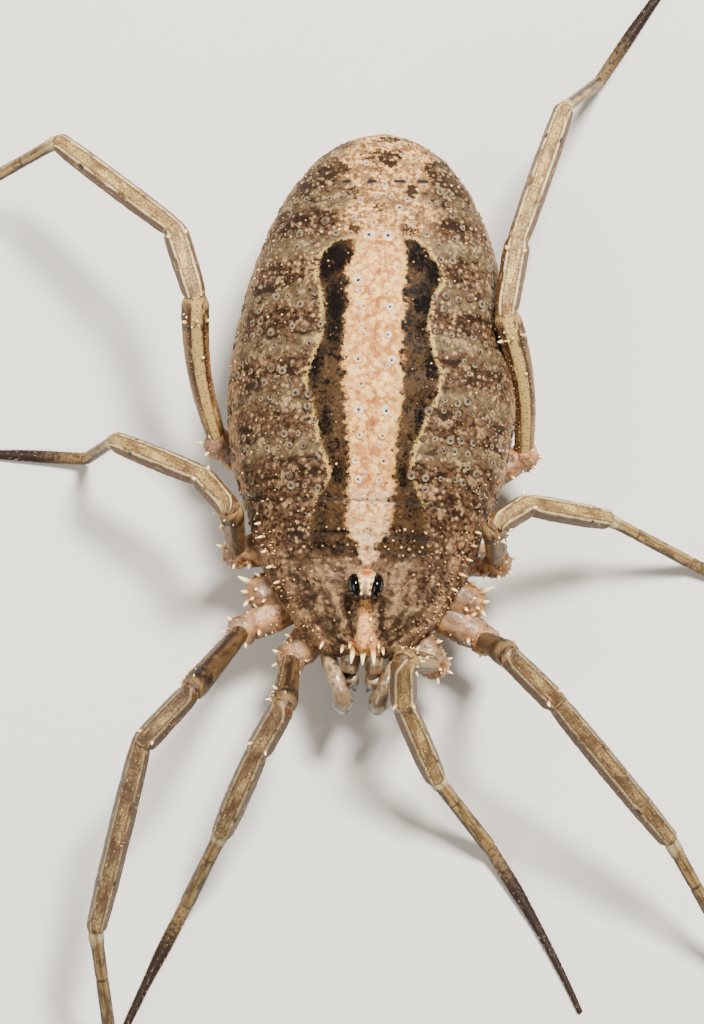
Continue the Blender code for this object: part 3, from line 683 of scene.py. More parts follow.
@dataclass(frozen=True)
class LegFinish:
    """Striped femora, keeled patellae and tibiae, khaki metatarsi, with painted shade underneath and on the
    legs that lie in shade.
    """

    stripe: Colour = tone(198, 178, 140)
    rust: Colour = tone(102, 72, 54)
    flank: Colour = tone(162, 136, 106)
    # Painted shade on the underside of the legs.
    under: Colour = tone(88, 66, 50)
    keel: Colour = tone(230, 219, 188)
    face: Colour = tone(212, 193, 152)
    face_dark: Colour = tone(126, 98, 68)
    side: Colour = tone(136, 106, 76)
    # Side colour for the legs that lie in shade: painted shade.
    painted_shade_side: Colour = tone(92, 70, 57)
    joint: Colour = tone(192, 168, 134)
    khaki: Colour = tone(184, 162, 126)
    khaki_dark: Colour = tone(88, 68, 50)
    spot: Colour = tone(60, 43, 31)
    # Grey face for the legs that lie in shade: painted shade.
    grey: Colour = tone(154, 138, 122)
    # Tint that is multiplied in as painted shade on the legs that lie in shade.
    dim: Colour = tone(144, 142, 146)

    def build(self) -> Material:
        """Make the material."""
        g = Graph("leg_cuticle")
        flat = g.skin_place()
        kind = g.value("kind")
        share = g.value("share")
        turn = abs(g.value("round"))
        fine = g.cloud(flat, 16.0, 4.0, 0.65)
        soft = g.cloud(flat, 4.0, 3.0, 0.55)
        long = g.cloud(g.skin_place((1.0, 0.25, 1.0)), 9.0, 4.0, 0.6)
        wander = turn + (long - 0.5) * 0.14
        femur = g.mix(g.spread(wander, 0.1, 0.16), self.stripe, self.rust)
        femur = g.mix(g.spread(wander, 0.1, 0.18) * g.spread(share, 0.5, 0.1), femur, self.flank)
        femur = g.mix(g.spread(wander, 0.2, 0.3), femur, self.flank)
        femur = g.mix(g.spread(wander, 0.44, 0.5), femur, self.rust)
        femur = g.mix(g.spread(wander, 0.56, 0.66), femur, self.flank)
        streak = g.spread(long, 0.5, 0.62) * g.spread(turn, 0.12, 0.2)
        femur = g.mix(streak * 0.75, femur, self.rust)
        femur = g.mix(g.spread(long, 0.44, 0.36) * 0.6, femur, self.stripe)
        beads = g.cells(flat, 15.0, 0.4)
        bead = g.spread(beads.outputs["Distance"], 0.3, 0.2) * g.spread(turn, 0.2, 0.12)
        femur = g.mix(bead * 0.7, femur, self.rust)
        late = share + (soft - 0.5) * 0.12
        blotch = g.spread(late, 0.78, 0.84) * g.spread(late, 0.96, 0.92)
        blotch = blotch * g.spread(turn + (long - 0.5), 0.14, 0.26)
        blotch = blotch * g.spread(soft, 0.38, 0.52)
        femur = g.mix(blotch * 0.9, femur, self.spot)
        femur = g.mix(g.spread(late, 0.95, 0.98) * g.spread(fine, 0.62, 0.46), femur, self.joint)
        # Painted shade: the femora of the legs that lie in shade are darkened.
        femur = g.mix(g.value("dim"), femur, g.mix(1.0, femur, self.dim, "MULTIPLY"))
        speck = g.spread(g.cloud(flat, 24.0, 3.0, 0.7), 0.5, 0.6)
        face = g.mix(speck, self.face, self.face_dark)
        face = g.mix(0.7, self.face, face)
        # Painted shade: the face turns grey on the legs that lie in shade.
        face = g.mix(g.value("dim") * 0.9, face, self.grey)
        face = g.mix(g.spread(soft, 0.5, 0.62) * 0.5, face, self.side)
        begin = long + g.spread(late, 0.65, 0.1) * 0.08
        face = g.mix(g.spread(begin, 0.5, 0.6) * 0.65, face, self.side)
        broad = turn + (fine - 0.5) * 0.3
        core = g.spread(broad, 0.19, 0.08) * g.spread(g.cloud(g.skin_place((1.0, 0.5, 1.0)), 3.0, 5.0,
            0.7), 0.4, 0.56)
        # The rusty core is the leg's own pattern, made stronger as painted shade on the legs that lie in
        # shade.
        core = g.sum("MULTIPLY", core, 0.3 + g.value("dim"), clamp=True)
        face = g.mix(core, face, self.rust)
        side = g.mix(g.spread(long, 0.42, 0.58), self.side, self.face_dark)
        side = g.mix(g.spread(long, 0.4, 0.32), side, self.face)
        # Painted shade: darker sides on the legs that lie in shade.
        side = g.mix(g.value("dim"), side, g.mix(g.spread(fine, 0.4, 0.6), self.painted_shade_side, self.side))
        keeled = g.mix(g.spread(wander, 0.19, 0.22), face, side)
        near = abs(turn - 0.2)
        lower = abs(turn - 0.6)
        near = g.sum("MINIMUM", near, lower)
        ragged = near + (fine - 0.5) * 0.06
        rim = g.spread(ragged, 0.095, 0.06) * g.spread(soft, 0.3, 0.46)
        keeled = g.mix(rim * 0.85, keeled, g.mix(soft, self.face_dark, self.rust))
        crest = g.spread(ragged, 0.055, 0.012) * g.spread(long, 0.66, 0.48)
        # The pale keel lines fade as painted shade on the legs that lie in shade.
        crest = crest * (0.82 - g.value("dim"))
        keeled = g.mix(crest, keeled, self.keel)
        # Painted shade along the underside of the leg.
        keeled = g.mix(g.spread(turn, 0.68, 0.8), keeled, self.under)
        ends = g.spread(abs(late - 0.5), 0.46, 0.5)
        keeled = g.mix(ends * 0.8 * g.spread(fine, 0.6, 0.44), keeled, self.joint)
        mark = g.spread(abs(share - 0.74), 0.03, 0.015) * g.spread(abs(turn - 0.25), 0.09, 0.05)
        mark = mark * g.spread(kind, 1.4, 1.6)
        keeled = g.mix(mark, keeled, self.spot)
        slim = g.mix(g.spread(wander, 0.22, 0.34), self.khaki, self.khaki_dark)
        slim = g.mix(g.spread(wander, 0.44, 0.56), slim, self.khaki)
        slim = g.mix(g.spread(long, 0.46, 0.6) * 0.75, slim, self.khaki_dark)
        slim = g.mix(g.spread(fine, 0.48, 0.64) * 0.4, slim, self.khaki_dark)
        slim = g.mix(g.spread(late, 0.1, 0.04) * 0.5, slim, self.keel)
        band = g.spread(abs(share - 0.33), 0.014, 0.006)
        slim = g.mix(band * 0.8, slim, self.khaki_dark)
        slim = g.mix(g.spread(wander, 0.09, 0.03) * 0.5, slim, self.khaki_dark)
        colour = g.mix(g.spread(kind, 0.4, 0.6), femur, keeled)
        colour = g.mix(g.spread(kind, 2.4, 2.6), colour, slim)
        edge = g.spread(abs(share - 0.5), 0.486, 0.496) * g.spread(fine, 0.4, 0.6)
        colour = g.mix(edge, colour, self.rust)
        # Painted shade over the whole leg, by its share of shade.
        colour = g.mix(g.value("dim"), colour, g.mix(1.0, colour, self.dim, "MULTIPLY"))
        relief = fine * 0.5 + speck * 0.3
        relief = relief - bead * 0.5
        rough = 0.3 + fine * 0.3
        return g.dress(colour, rough, g.bump(relief, 0.7, 0.025 * MM), Specular_IOR_Level=0.3)


@dataclass(frozen=True)
class HipFinish:
    """Pinkish, faintly clear cuticle of the coxae and trochanters."""

    flesh: Colour = tone(192, 162, 134)
    grey: Colour = tone(150, 130, 110)
    rust: Colour = tone(142, 102, 76)
    dark: Colour = tone(92, 62, 42)

    def build(self) -> Material:
        """Make the material."""
        g = Graph("hip_cuticle")
        place = g.object_place()
        soft = g.cloud(place, 2.4, 4.0, 0.6)
        fine = g.cloud(place, 12.0, 4.0, 0.65)
        colour = g.mix(g.spread(soft, 0.4, 0.58), self.flesh, self.grey)
        knob = g.value("share") * 0.8 + 0.15
        rust = knob * g.spread(g.cloud(place, 5.0, 4.0, 0.6), 0.48, 0.6)
        colour = g.mix(rust * 0.8, colour, self.rust)
        brown = g.spread(g.cloud(place, 3.6, 5.0, 0.7), 0.53, 0.64)
        colour = g.mix(brown * 0.75, colour, self.dark)
        base = g.spread(g.value("along"), 0.75, 0.4) * g.spread(soft, 0.58, 0.42)
        colour = g.mix(base * 0.55, colour, self.dark)
        colour = g.mix(g.spread(fine, 0.52, 0.66) * 0.35, colour, self.dark)
        rough = 0.28 + fine * 0.25
        return g.dress(colour, rough, g.bump(fine, 0.6, 0.03 * MM), Subsurface_Weight=0.08,
            Subsurface_Scale=0.0003, Coat_Weight=0.08, Specular_IOR_Level=0.3)


@dataclass(frozen=True)
class FootFinish:
    """Tan tarsus, darker between its rings and towards the tip."""

    tan: Colour = tone(142, 124, 98)
    ring: Colour = tone(66, 50, 38)
    tip: Colour = tone(70, 54, 42)

    def build(self) -> Material:
        """Make the material."""
        g = Graph("tarsus_cuticle")
        place = g.object_place()
        fine = g.cloud(place, 18.0, 3.0, 0.6)
        colour = g.mix(g.spread(g.value("share") + fine * 0.3, 0.12, 0.42), self.tan, self.tip)
        colour = g.mix(g.value("ring") * 0.35, colour, self.ring)
        colour = g.mix(g.spread(fine, 0.5, 0.66) * 0.7, colour, self.ring)
        return g.dress(colour, 0.5 + fine * 0.2, g.bump(fine, 0.4, 0.015 * MM), Specular_IOR_Level=0.15)


@dataclass(frozen=True)
class MoundFinish:
    """Cream eye mound with an orange patch behind and painted shade on its foot in front."""

    cream: Colour = tone(236, 216, 186)
    orange: Colour = tone(178, 114, 82)
    brown: Colour = tone(150, 108, 82)
    # Painted shade on the mound's front foot.
    dark: Colour = tone(58, 32, 20)

    def build(self) -> Material:
        """Make the material."""
        g = Graph("mound_cuticle")
        place = g.object_place()
        fine = g.cloud(place, 12.0, 4.0, 0.6)
        colour = g.mix(g.spread(fine, 0.52, 0.68) * 0.6, self.cream, self.orange)
        patch = g.value("patch") * g.spread(fine, 0.3, 0.45)
        colour = g.mix(patch, colour, self.orange)
        seam = abs(g.value("lateral") + fine * 0.02)
        seam = g.spread(seam, 0.06, 0.02) * g.spread(g.value("along"), -0.66, -0.76)
        colour = g.mix(seam * 0.8, colour, self.brown)
        # Painted shade down the front slope of the mound.
        colour = g.mix(g.value("foot"), colour, self.dark)
        return g.dress(colour, 0.26 + fine * 0.2, g.bump(fine, 0.4, 0.02 * MM), Coat_Weight=0.2,
            Coat_Roughness=0.2)


@dataclass(frozen=True)
class EyeFinish:
    """Wet black eye with faint brown mottling."""

    pupil: Colour = tone(8, 6, 5)
    brown: Colour = tone(40, 24, 14)

    def build(self) -> Material:
        """Make the material."""
        g = Graph("eye_gloss")
        place = g.object_place()
        colour = g.mix(g.spread(g.cloud(place, 8.0, 3.0), 0.45, 0.75), self.pupil, self.brown)
        rough = 0.02 + g.cloud(place, 20.0) * 0.04
        return g.dress(colour, rough, Specular_IOR_Level=0.3)


@dataclass(frozen=True)
class MouthFinish:
    """Amber, faintly clear cuticle of the mouthparts, with black finger tips."""

    amber: Colour = tone(136, 116, 94)
    brown: Colour = tone(84, 64, 48)
    pale: Colour = tone(178, 160, 136)
    glass: Colour = tone(140, 124, 104)
    black: Colour = tone(16, 11, 9)

    def build(self) -> Material:
        """Make the material."""
        g = Graph("mouth_cuticle")
        place = g.object_place()
        soft = g.cloud(place, 3.4, 4.0, 0.6)
        fine = g.cloud(place, 13.0, 4.0, 0.6)
        colour = g.mix(g.spread(soft, 0.42, 0.6), self.amber, self.pale)
        colour = g.mix(g.spread(fine, 0.5, 0.64) * 0.8, colour, self.brown)
        colour = g.mix(g.value("glass"), colour, self.glass)
        colour = g.mix(g.value("tip"), colour, self.black)
        rough = g.mix(g.value("glass"), (0.32, 0.32, 0.32, 1.0), (0.1, 0.1, 0.1, 1.0))
        return g.dress(colour, rough, g.bump(fine, 0.25, 0.02 * MM), Subsurface_Weight=0.15,
            Subsurface_Scale=0.0003, Coat_Weight=0.3, Coat_Roughness=0.12)


@dataclass(frozen=True)
class SpineFinish:
    """Spines and granules: a coloured root that pales to its tip."""

    name: str
    root: Colour
    tip: Colour
    dark: Colour
    start: float = 0.1
    end: float = 0.6
    gloss: float = 0.3

    def build(self) -> Material:
        """Make the material."""
        g = Graph(self.name)
        grow = g.value("tip")
        fine = g.cloud(g.object_place(), 20.0, 3.0)
        foot = g.mix(g.value("shade"), self.root, self.dark)
        colour = g.mix(g.spread(grow + fine * 0.1, self.start, self.end), foot, g.mix(g.value("shade"),
            self.tip, self.dark))
        rough = self.gloss + fine * 0.15
        return g.dress(colour, rough, Coat_Weight=0.25, Coat_Roughness=0.2)


@dataclass(frozen=True)
class FloorFinish:
    """Plain pale floor."""

    pale: Colour = tone(222, 219, 213)
    warm: Colour = tone(215, 211, 203)

    def build(self) -> Material:
        """Make the material."""
        g = Graph("floor_plain")
        cloud = g.cloud(g.object_place(), 0.05, 3.0)
        return g.dress(g.mix(cloud, self.pale, self.warm), 0.85)


@dataclass
class Seat:
    """One place for a repeated piece: where it sits, its lie, size and shade."""

    place: Vector
    lie: Vector
    wide: float
    tall: float
    shade: float = 0.0


class Scatter:
    """Sets a small template on many seats, with one Geometry Nodes tree."""

    def __init__(self) -> None:
        """Build the tree and remember its sockets."""
        self.tree = bpy.data.node_groups.new("set_on_seats", "GeometryNodeTree")
        face = self.tree.interface
        face.new_socket("Seats", in_out="INPUT", socket_type="NodeSocketGeometry")
        self.sockets = {}
        for name, kind in (("Template", "Object"), ("Finish", "Material"), ("Size Spread", "Float"),
                           ("Seed", "Int")):
            socket = face.new_socket(name, in_out="INPUT", socket_type="NodeSocket" + kind)
            self.sockets[name] = socket.identifier
        face.new_socket("Result", in_out="OUTPUT", socket_type="NodeSocketGeometry")
        start = self.add("NodeGroupInput")
        info = self.add("GeometryNodeObjectInfo", {"As Instance": True}, transform_space="ORIGINAL")
        setter = self.add("GeometryNodeInstanceOnPoints")
        lie = self.add("GeometryNodeInputNamedAttribute", {0: "lie"}, data_type="FLOAT_VECTOR")
        size = self.add("GeometryNodeInputNamedAttribute", {0: "size"}, data_type="FLOAT_VECTOR")
        turn = self.add("FunctionNodeAlignRotationToVector", axis="Z")
        chance = self.add("FunctionNodeRandomValue", data_type="FLOAT")
        low = self.add("ShaderNodeMath", {0: 1.0}, operation="SUBTRACT")
        high = self.add("ShaderNodeMath", {0: 1.0}, operation="ADD")
        scale = self.add("ShaderNodeVectorMath", operation="SCALE")
        real = self.add("GeometryNodeRealizeInstances")
        paint = self.add("GeometryNodeSetMaterial")
        end = self.add("NodeGroupOutput")
        bounds = [socket for socket in chance.inputs if socket.enabled]
        drawn = [socket for socket in chance.outputs if socket.enabled]
        for output, socket in (
                (start.outputs["Seats"], setter.inputs["Points"]),
                (start.outputs["Template"], info.inputs["Object"]),
                (info.outputs["Geometry"], setter.inputs["Instance"]),
                (lie.outputs["Attribute"], turn.inputs["Vector"]),
                (turn.outputs["Rotation"], setter.inputs["Rotation"]),
                (start.outputs["Size Spread"], low.inputs[1]),
                (start.outputs["Size Spread"], high.inputs[1]),
                (low.outputs[0], bounds[0]),
                (high.outputs[0], bounds[1]),
                (start.outputs["Seed"], chance.inputs["Seed"]),
                (size.outputs["Attribute"], scale.inputs[0]),
                (drawn[0], scale.inputs["Scale"]),
                (scale.outputs[0], setter.inputs["Scale"]),
                (setter.outputs["Instances"], real.inputs["Geometry"]),
                (real.outputs["Geometry"], paint.inputs["Geometry"]),
                (start.outputs["Finish"], paint.inputs["Material"]),
                (paint.outputs["Geometry"], end.inputs["Result"])):
            self.tree.links.new(output, socket)

    def add(self, kind: str, values: Optional[dict] = None, **settings: object) -> bpy.types.Node:
        """Add a node.

        Args:
            kind: the node's type.
            values: its inputs' own values, by name or number.
            settings: the node's own properties.

        Returns:
            The node.
        """
        node = self.tree.nodes.new(kind)
        for key, value in settings.items():
            setattr(node, key, value)
        for key, value in (values or {}).items():
            node.inputs[key].default_value = value
        return node

    def run(self, name: str, seats: Sequence[Seat], template: Piece,
            finish: Material, spread: float = 0.15, seed: int = 3) -> Piece:
        """Set the template on every seat and make the result a plain mesh.

        Args:
            name: the finished piece's name.
            seats: where the copies go.
            template: the piece that is repeated, one unit tall along Z.
            finish: the material.
            spread: how far sizes vary, as a share.
            seed: the fixed seed of the variation.

        Returns:
            The finished piece.
        """
        mesh = bpy.data.meshes.new(name + "_seats")
        places = ANATOMY.metres(np.array([seat.place[:] for seat in seats]))
        mesh.from_pydata(places.tolist(), [], [])
        lie = mesh.attributes.new("lie", "FLOAT_VECTOR", "POINT")
        lie.data.foreach_set("vector", [c for seat in seats for c in seat.lie.normalized()])
        size = mesh.attributes.new("size", "FLOAT_VECTOR", "POINT")
        size.data.foreach_set("vector", [c * MM for seat in seats for c in (seat.wide, seat.wide,
            seat.tall)])
        shade = mesh.attributes.new("shade", "FLOAT", "POINT")
        shade.data.foreach_set("value", [seat.shade for seat in seats])
        carrier = put_in_scene(name + "_carrier", mesh)
        modifier = carrier.modifiers.new("set", "NODES")
        modifier.node_group = self.tree
        for key, value in (("Template", template), ("Finish", finish), ("Size Spread", spread),
                           ("Seed", seed)):
            modifier[self.sockets[key]] = value
        bpy.context.view_layer.update()
        graph = bpy.context.evaluated_depsgraph_get()
        result = bpy.data.meshes.new_from_object(carrier.evaluated_get(graph))
        result.name = name
        modifier.node_group = None
        bpy.data.objects.remove(carrier)
        result.shade_smooth()
        piece = put_in_scene(name, result)
        if not result.materials:
            result.materials.append(finish)
        return piece


class Template(Enum):
    """Small shapes that the scatter repeats: rings of radius and height."""

    SPINE = ((1.0, -0.25), (0.94, 0.0), (0.74, 0.35), (0.44, 0.72), (0.16, 0.94), (0.0, 1.0))
    GRANULE = ((1.0, -0.35), (1.0, 0.15), (0.82, 0.55), (0.48, 0.86), (0.0, 1.0))
    HAIR = ((1.0, -0.05), (0.7, 0.4), (0.35, 0.8), (0.0, 1.0))
    RING = ((1.0, -0.6), (0.97, 0.1), (0.82, 0.75), (0.66, 1.0), (0.5, 0.7), (0.4, 0.4), (0.34, 0.55),
        (0.2, 0.8), (0.0, 0.9))

    def make(self, sides: int) -> Piece:
        """Turn the profile into a unit piece that stands along Z.

        Args:
            sides: how many sides it has.

        Returns:
            The template object, which the caller removes.
        """
        inward = self is Template.RING
        points = []
        heights = []
        for radius, height in self.value[:-1]:
            for k in range(sides):
                angle = 2 * math.pi * k / sides
                points.append((radius * math.cos(angle), radius * math.sin(angle), height))
                heights.append(1.0 - radius if inward else max(height, 0.0))
        rows = len(self.value) - 1
        faces = grid_faces(rows, sides)
        top = len(points)
        points.append((0.0, 0.0, self.value[-1][1]))
        heights.append(1.0)
        last = (rows - 1) * sides
        for k in range(sides):
            faces.append((last + k, last + (k + 1) % sides, top))
        faces.append(tuple(reversed(range(sides))))
        mesh = bpy.data.meshes.new(self.name.lower() + "_template")
        mesh.from_pydata(points, [], faces)
        layer = mesh.attributes.new("tip", "FLOAT", "POINT")
        layer.data.foreach_set("value", heights)
        return put_in_scene(mesh.name, mesh)


@dataclass
class Trunk:
    """The trunk: prosoma and opisthosoma under one granular skin."""

    stations: tuple = ((-1.78, 0.0, 2.02, 2.02), (-1.76, 0.5, 1.72, 2.22), (-1.6, 0.8, 1.45, 2.42),
        (-1.22, 1.19, 1.24, 2.68), (-0.8, 1.48, 1.12, 2.88), (-0.15, 1.84, 1.02, 3.1), (0.6, 2.08, 0.94,
        3.45), (1.5, 2.37, 0.88, 3.82), (2.7, 2.51, 0.84, 4.12), (4.0, 2.38, 0.9, 4.2), (5.2, 2.08, 1.08,
        4.02), (6.1, 1.74, 1.36, 3.7), (6.85, 1.24, 1.72, 3.28), (7.3, 0.66, 2.08, 2.9), (7.48, 0.0, 2.48,
        2.48))
    rings: int = 330
    around: int = 240
    widest_share: float = 0.45
    belly_square: float = 0.86
    sway: float = -0.03
    lean: float = 0.045
    grooves: tuple = ((0.70, 1.00), (0.13, 0.85), (-0.10, 0.7))
    groove_width: float = 0.022
    groove_depth: float = 0.03
    saddle_left: tuple = ((236, 352), (242, 333), (250, 326), (260, 319), (277, 318), (299, 324), (330,
        324), (352, 316), (368, 309), (382, 307), (400, 312), (420, 318), (445, 321), (460, 329), (475,
        332), (488, 325), (500, 317), (530, 311), (556, 309))
    saddle_right: tuple = ((238, 412), (244, 422), (250, 428), (260, 433), (271, 442), (283, 442), (294,
        434), (305, 431), (327, 427), (350, 432), (375, 440), (388, 438), (400, 434), (420, 425), (450,
        413), (470, 409), (490, 416), (500, 420), (520, 424), (556, 431))
    band_left: tuple = ((196, 384), (212, 372), (235, 357), (248, 358), (260, 350), (300, 348), (340,
        343), (400, 346), (453, 347), (528, 347), (537, 350), (542, 358), (562, 361))
    band_right: tuple = ((196, 386), (212, 392), (235, 402), (250, 407), (262, 404), (300, 405), (340,
        402), (400, 401), (453, 395), (500, 391), (528, 389), (537, 386), (542, 378), (562, 374))
    black: tuple = ((335, 258, 16, 16, 1.0), (353, 254, 8, 5, 1.0), (327, 268, 8, 12, 1.0), (336, 303, 10,
        22, 1.0), (335, 332, 9, 14, 0.9), (314, 366, 7, 16, 1.0), (318, 352, 8, 9, 0.7), (324, 398, 8, 12,
        0.4), (325, 422, 6, 18, 0.9), (333, 446, 7, 9, 0.7), (338, 472, 6, 15, 0.85), (322, 506, 7, 14,
        0.5), (320, 538, 8, 12, 0.45), (419, 256, 13, 14, 1.0), (434, 273, 9, 13, 1.0), (425, 302, 10, 16,
        1.0), (421, 328, 8, 12, 0.7), (432, 362, 7, 18, 1.0), (428, 392, 7, 10, 0.5), (419, 420, 6, 15,
        0.85), (408, 452, 6, 10, 0.6), (404, 478, 6, 14, 0.85), (412, 506, 7, 14, 0.5), (416, 538, 8, 12,
        0.45))
    blotches: tuple = ((333, 166, 15, 8, 1.0), (441, 170, 15, 11, 1.0), (305, 190, 4, 9, 0.8), (315, 178,
        13, 4, 0.8), (321, 198, 12, 4, 0.7), (386, 152, 23, 5, 0.7), (388, 162, 9, 4, 0.8), (353, 192, 6,
        8, 0.8), (412, 192, 5, 9, 0.8), (381, 207, 8, 4, 0.8), (450, 197, 12, 9, 0.7), (304, 216, 12, 5,
        0.9), (331, 214, 8, 4, 0.8), (290, 229, 12, 5, 0.7), (276, 286, 18, 7, 0.9), (355, 228, 7, 6,
        0.8), (410, 231, 8, 8, 0.7), (455, 225, 12, 5, 0.7), (388, 137, 18, 3, 0.6), (250, 300, 10, 6,
        0.6), (280, 318, 14, 5, 0.7), (465, 320, 14, 5, 0.7), (262, 335, 14, 5, 0.6), (288, 368, 12, 6,
        0.7), (255, 385, 12, 5, 0.7), (470, 370, 12, 6, 0.7), (332, 619, 9, 6, 0.9), (398, 620, 10, 6,
        0.9), (309, 594, 9, 11, 0.7), (428, 598, 10, 8, 0.8), (297, 575, 4, 13, 0.6), (440, 574, 5, 14,
        0.7), (332, 551, 30, 5, 0.7), (405, 552, 30, 5, 0.7), (351, 612, 5, 20, 0.6), (381, 612, 5, 20,
        0.6), (350, 632, 9, 5, 0.7), (386, 634, 9, 5, 0.7), (366, 599, 14, 4, 0.9))
    # Folds and crests of the front part: strength (below zero for a crest), width and points in pixels.
    # They sink and raise the skin and also set painted shade in the folds and painted light on the crests.
    folds: tuple = ((1.0, 4.5, (286, 548), (292, 575), (305, 603), (325, 628), (342, 643)), (1.0, 4.5,
        (449, 548), (443, 575), (430, 603), (410, 628), (392, 643)), (0.9, 4.0, (299, 564), (308, 585),
        (313, 606)), (0.9, 4.0, (431, 564), (423, 585), (418, 606)), (0.8, 4.0, (322, 582), (326, 605),
        (336, 628)), (0.8, 4.0, (410, 582), (405, 606), (396, 628)), (1.0, 4.0, (350, 598), (348, 614),
        (351, 636)), (1.0, 4.0, (381, 598), (384, 614), (381, 636)), (-0.9, 4.5, (312, 558), (331, 590),
        (342, 626)), (-0.9, 4.5, (418, 558), (401, 590), (391, 626)), (-0.8, 4.0, (291, 562), (299, 588),
        (318, 616)), (-0.8, 4.0, (442, 562), (435, 588), (416, 616)), (0.8, 4.0, (268, 552), (272, 580),
        (284, 604)), (0.8, 4.0, (466, 552), (461, 580), (449, 604)), (0.6, 3.5, (330, 560), (341, 572),
        (346, 588)), (0.6, 3.5, (401, 560), (392, 572), (387, 588)))
    lobe_left: tuple = ((508, 262), (535, 284), (548, 287), (575, 292), (603, 305), (628, 325), (642, 340))
    lobe_right: tuple = ((508, 476), (535, 450), (548, 448), (575, 443), (603, 430), (628, 410), (642, 395))
    ridge_reach: tuple = ((594, 0), (600, 4.5), (620, 6.5), (633, 8.5), (644, 14))
    dashes: tuple = ((341, 352), (367, 377), (394, 406), (417, 429))
    dash_row: float = 180.0
    saddle_span: tuple = (238.0, 556.0, 1.2)
    band_span: tuple = (196.0, 566.0, 0.6)
    back_level: float = 2.5
    mound_line: float = 365.5
    rear_line: float = 388.0
    eye_row: float = 0.70
    fold_seed: int = 5
    ridge_centre: tuple = (0.0, -1.36, 2.58)
    ridge_radii: tuple = (0.15, 0.42, 0.13)
    belt_start: float = 0.71
    belt_step: float = 0.885
    belt_rows: tuple = (0.80, 0.20, 0.30, 0.96)
    bright_rows: tuple = ((-0.06, 1.4, 15), (0.24, 1.3, 12), (-0.42, 1.35, 9))
    ring_spacing: float = 0.235
    ring_radius: float = 0.084
    band_pairs: tuple = ((5.28, 0.165, 0.125), (4.42, 0.33, 0.125), (3.98, 0.23, 0.08), (3.48, 0.21,
        0.075), (3.05, 0.29, 0.095), (2.62, 0.22, 0.08), (2.2, 0.24, 0.095), (1.78, 0.2, 0.08), (1.36,
        0.24, 0.09), (1.05, 0.18, 0.08))

    def surface(self, s: Array, angle: Array, lift: float = 0.0) -> Array:
        """Points of the trunk's surface.

        Args:
            s: row positions on the stations.
            angle: angles round the axis, from the animal's left.
            lift: how far outside the surface.

        Returns:
            The points, in millimetres.
        """
        table = np.array(self.stations)
        half = np.maximum(smooth_column(table, 1, s), 0.0)
        belly = smooth_column(table, 2, s)
        top = smooth_column(table, 3, s)
        y = smooth_column(table, 0, s)
        widest = belly + (top - belly) * self.widest_share
        cosine = np.cos(angle)
        sine = np.sin(angle)
        power = np.where(sine >= 0, 1.0, self.belly_square)
        x = (half + lift) * np.sign(cosine) * np.abs(cosine) ** power
        height = np.where(sine >= 0, top - widest, widest - belly) + lift
        z = widest + height * np.sign(sine) * np.abs(sine) ** power
        drift = np.sin(np.pi * limit((y + 1.8) / 9.3))
        x = x + drift * (self.sway + self.lean * (z - widest))
        return np.stack((x, y, z), axis=-1)

    def station_at(self, y: float) -> float:
        """Row position on the stations where the axis reaches y."""
        ys = [row[0] for row in self.stations]
        return float(np.interp(y, ys, range(len(ys))))

    def seat(self, s: float, angle: float) -> tuple[Vector, Vector]:
        """A point of the surface and its outward normal."""
        points = self.surface(np.array([s, s + 0.05, s]), np.array([angle, angle, angle + 0.03]))
        here = Vector(points[0])
        ahead = Vector(points[1]) - here
        beside = Vector(points[2]) - here
        normal = beside.cross(ahead)
        outward = here - Vector((0.0, here.y, 2.3))
        if normal.dot(outward) < 0:
            normal = -normal
        return here, normal.normalized()

    def markings(self, points: Array) -> dict[str, Array]:
        """Named values that the finish reads, for every vertex."""
        across, down = PHOTO.pixels(points)
        above = points[:, 2] > self.back_level
        saddle = self.inside(self.saddle_left, self.saddle_right, self.saddle_span, across, down)
        saddle = np.where(above, saddle, -1.0)
        band = self.inside(self.band_left, self.band_right, self.band_span, across, down)
        band = np.where(above, band, -1.0)
        table = np.array(self.stations)
        black = self.patches(self.black, across, down)
        blotch = np.where(above | (points[:, 2] > 1.9), self.patches(self.blotches, across, down), 0.0)
        hoary = curve_value(((484, 0.0), (496, 0.8), (515, 0.3), (535, 0.8), (560, 0.3)), down)
        rim = curve_value(((232, 0.3), (245, 0.9), (470, 0.9), (496, 0.3), (530, 0.0)), down)
        hood = limit((down - 556.0) / 14.0)
        lobe = np.maximum(curve_value(self.lobe_left, down) - across, across
            - curve_value(self.lobe_right, down))
        pink = limit(lobe / 9.0) * limit((down - 508.0) / 30.0)
        belly = np.interp(points[:, 1], table[:, 0], table[:, 2])
        top = np.interp(points[:, 1], table[:, 0], table[:, 3]) + 1e-6
        widest = belly + (top - belly) * self.widest_share
        level = (points[:, 2] - widest) / (top - widest)
        flank = limit((0.36 - level) / 0.14) * limit((level + 0.3) / 0.25)
        flank = flank * limit((points[:, 1] - 0.7) / 0.4)
        under = limit((-0.1 - level) / 0.3)
        mild = curve_value(((330, 0.0), (430, 1.0), (500, 1.0), (530, 0.2)), down)
        line = np.zeros(len(points))
        for row, strength in self.grooves:
            near = np.exp(-((points[:, 1] - row) / self.groove_width) ** 2)
            reach = np.clip(1.6 - np.abs(points[:, 0]), 0.0, 0.4) / 0.4
            line = np.maximum(line, near * reach * strength * 0.7)
        for low, high in self.dashes:
            middle = (low + high) / 2
            width = (high - low) / 2
            near = np.exp(-((down - self.dash_row) / 2.0) ** 2) * 1.6
            near = near * limit((width - np.abs(across - middle)) / 2.0 + 0.5)
            line = np.maximum(line, near)
        line = np.where(above, line, 0.0)
        rear = curve_value(((150, 1.0), (218, 0.95), (258, 0.0)), down)
        reach = curve_value(((140, 40), (160, 62), (180, 50), (196, 36), (210, 58), (236, 50)), down)
        rear = np.where(above, rear * limit((reach - np.abs(across - self.rear_line)) / 14.0), 0.0)
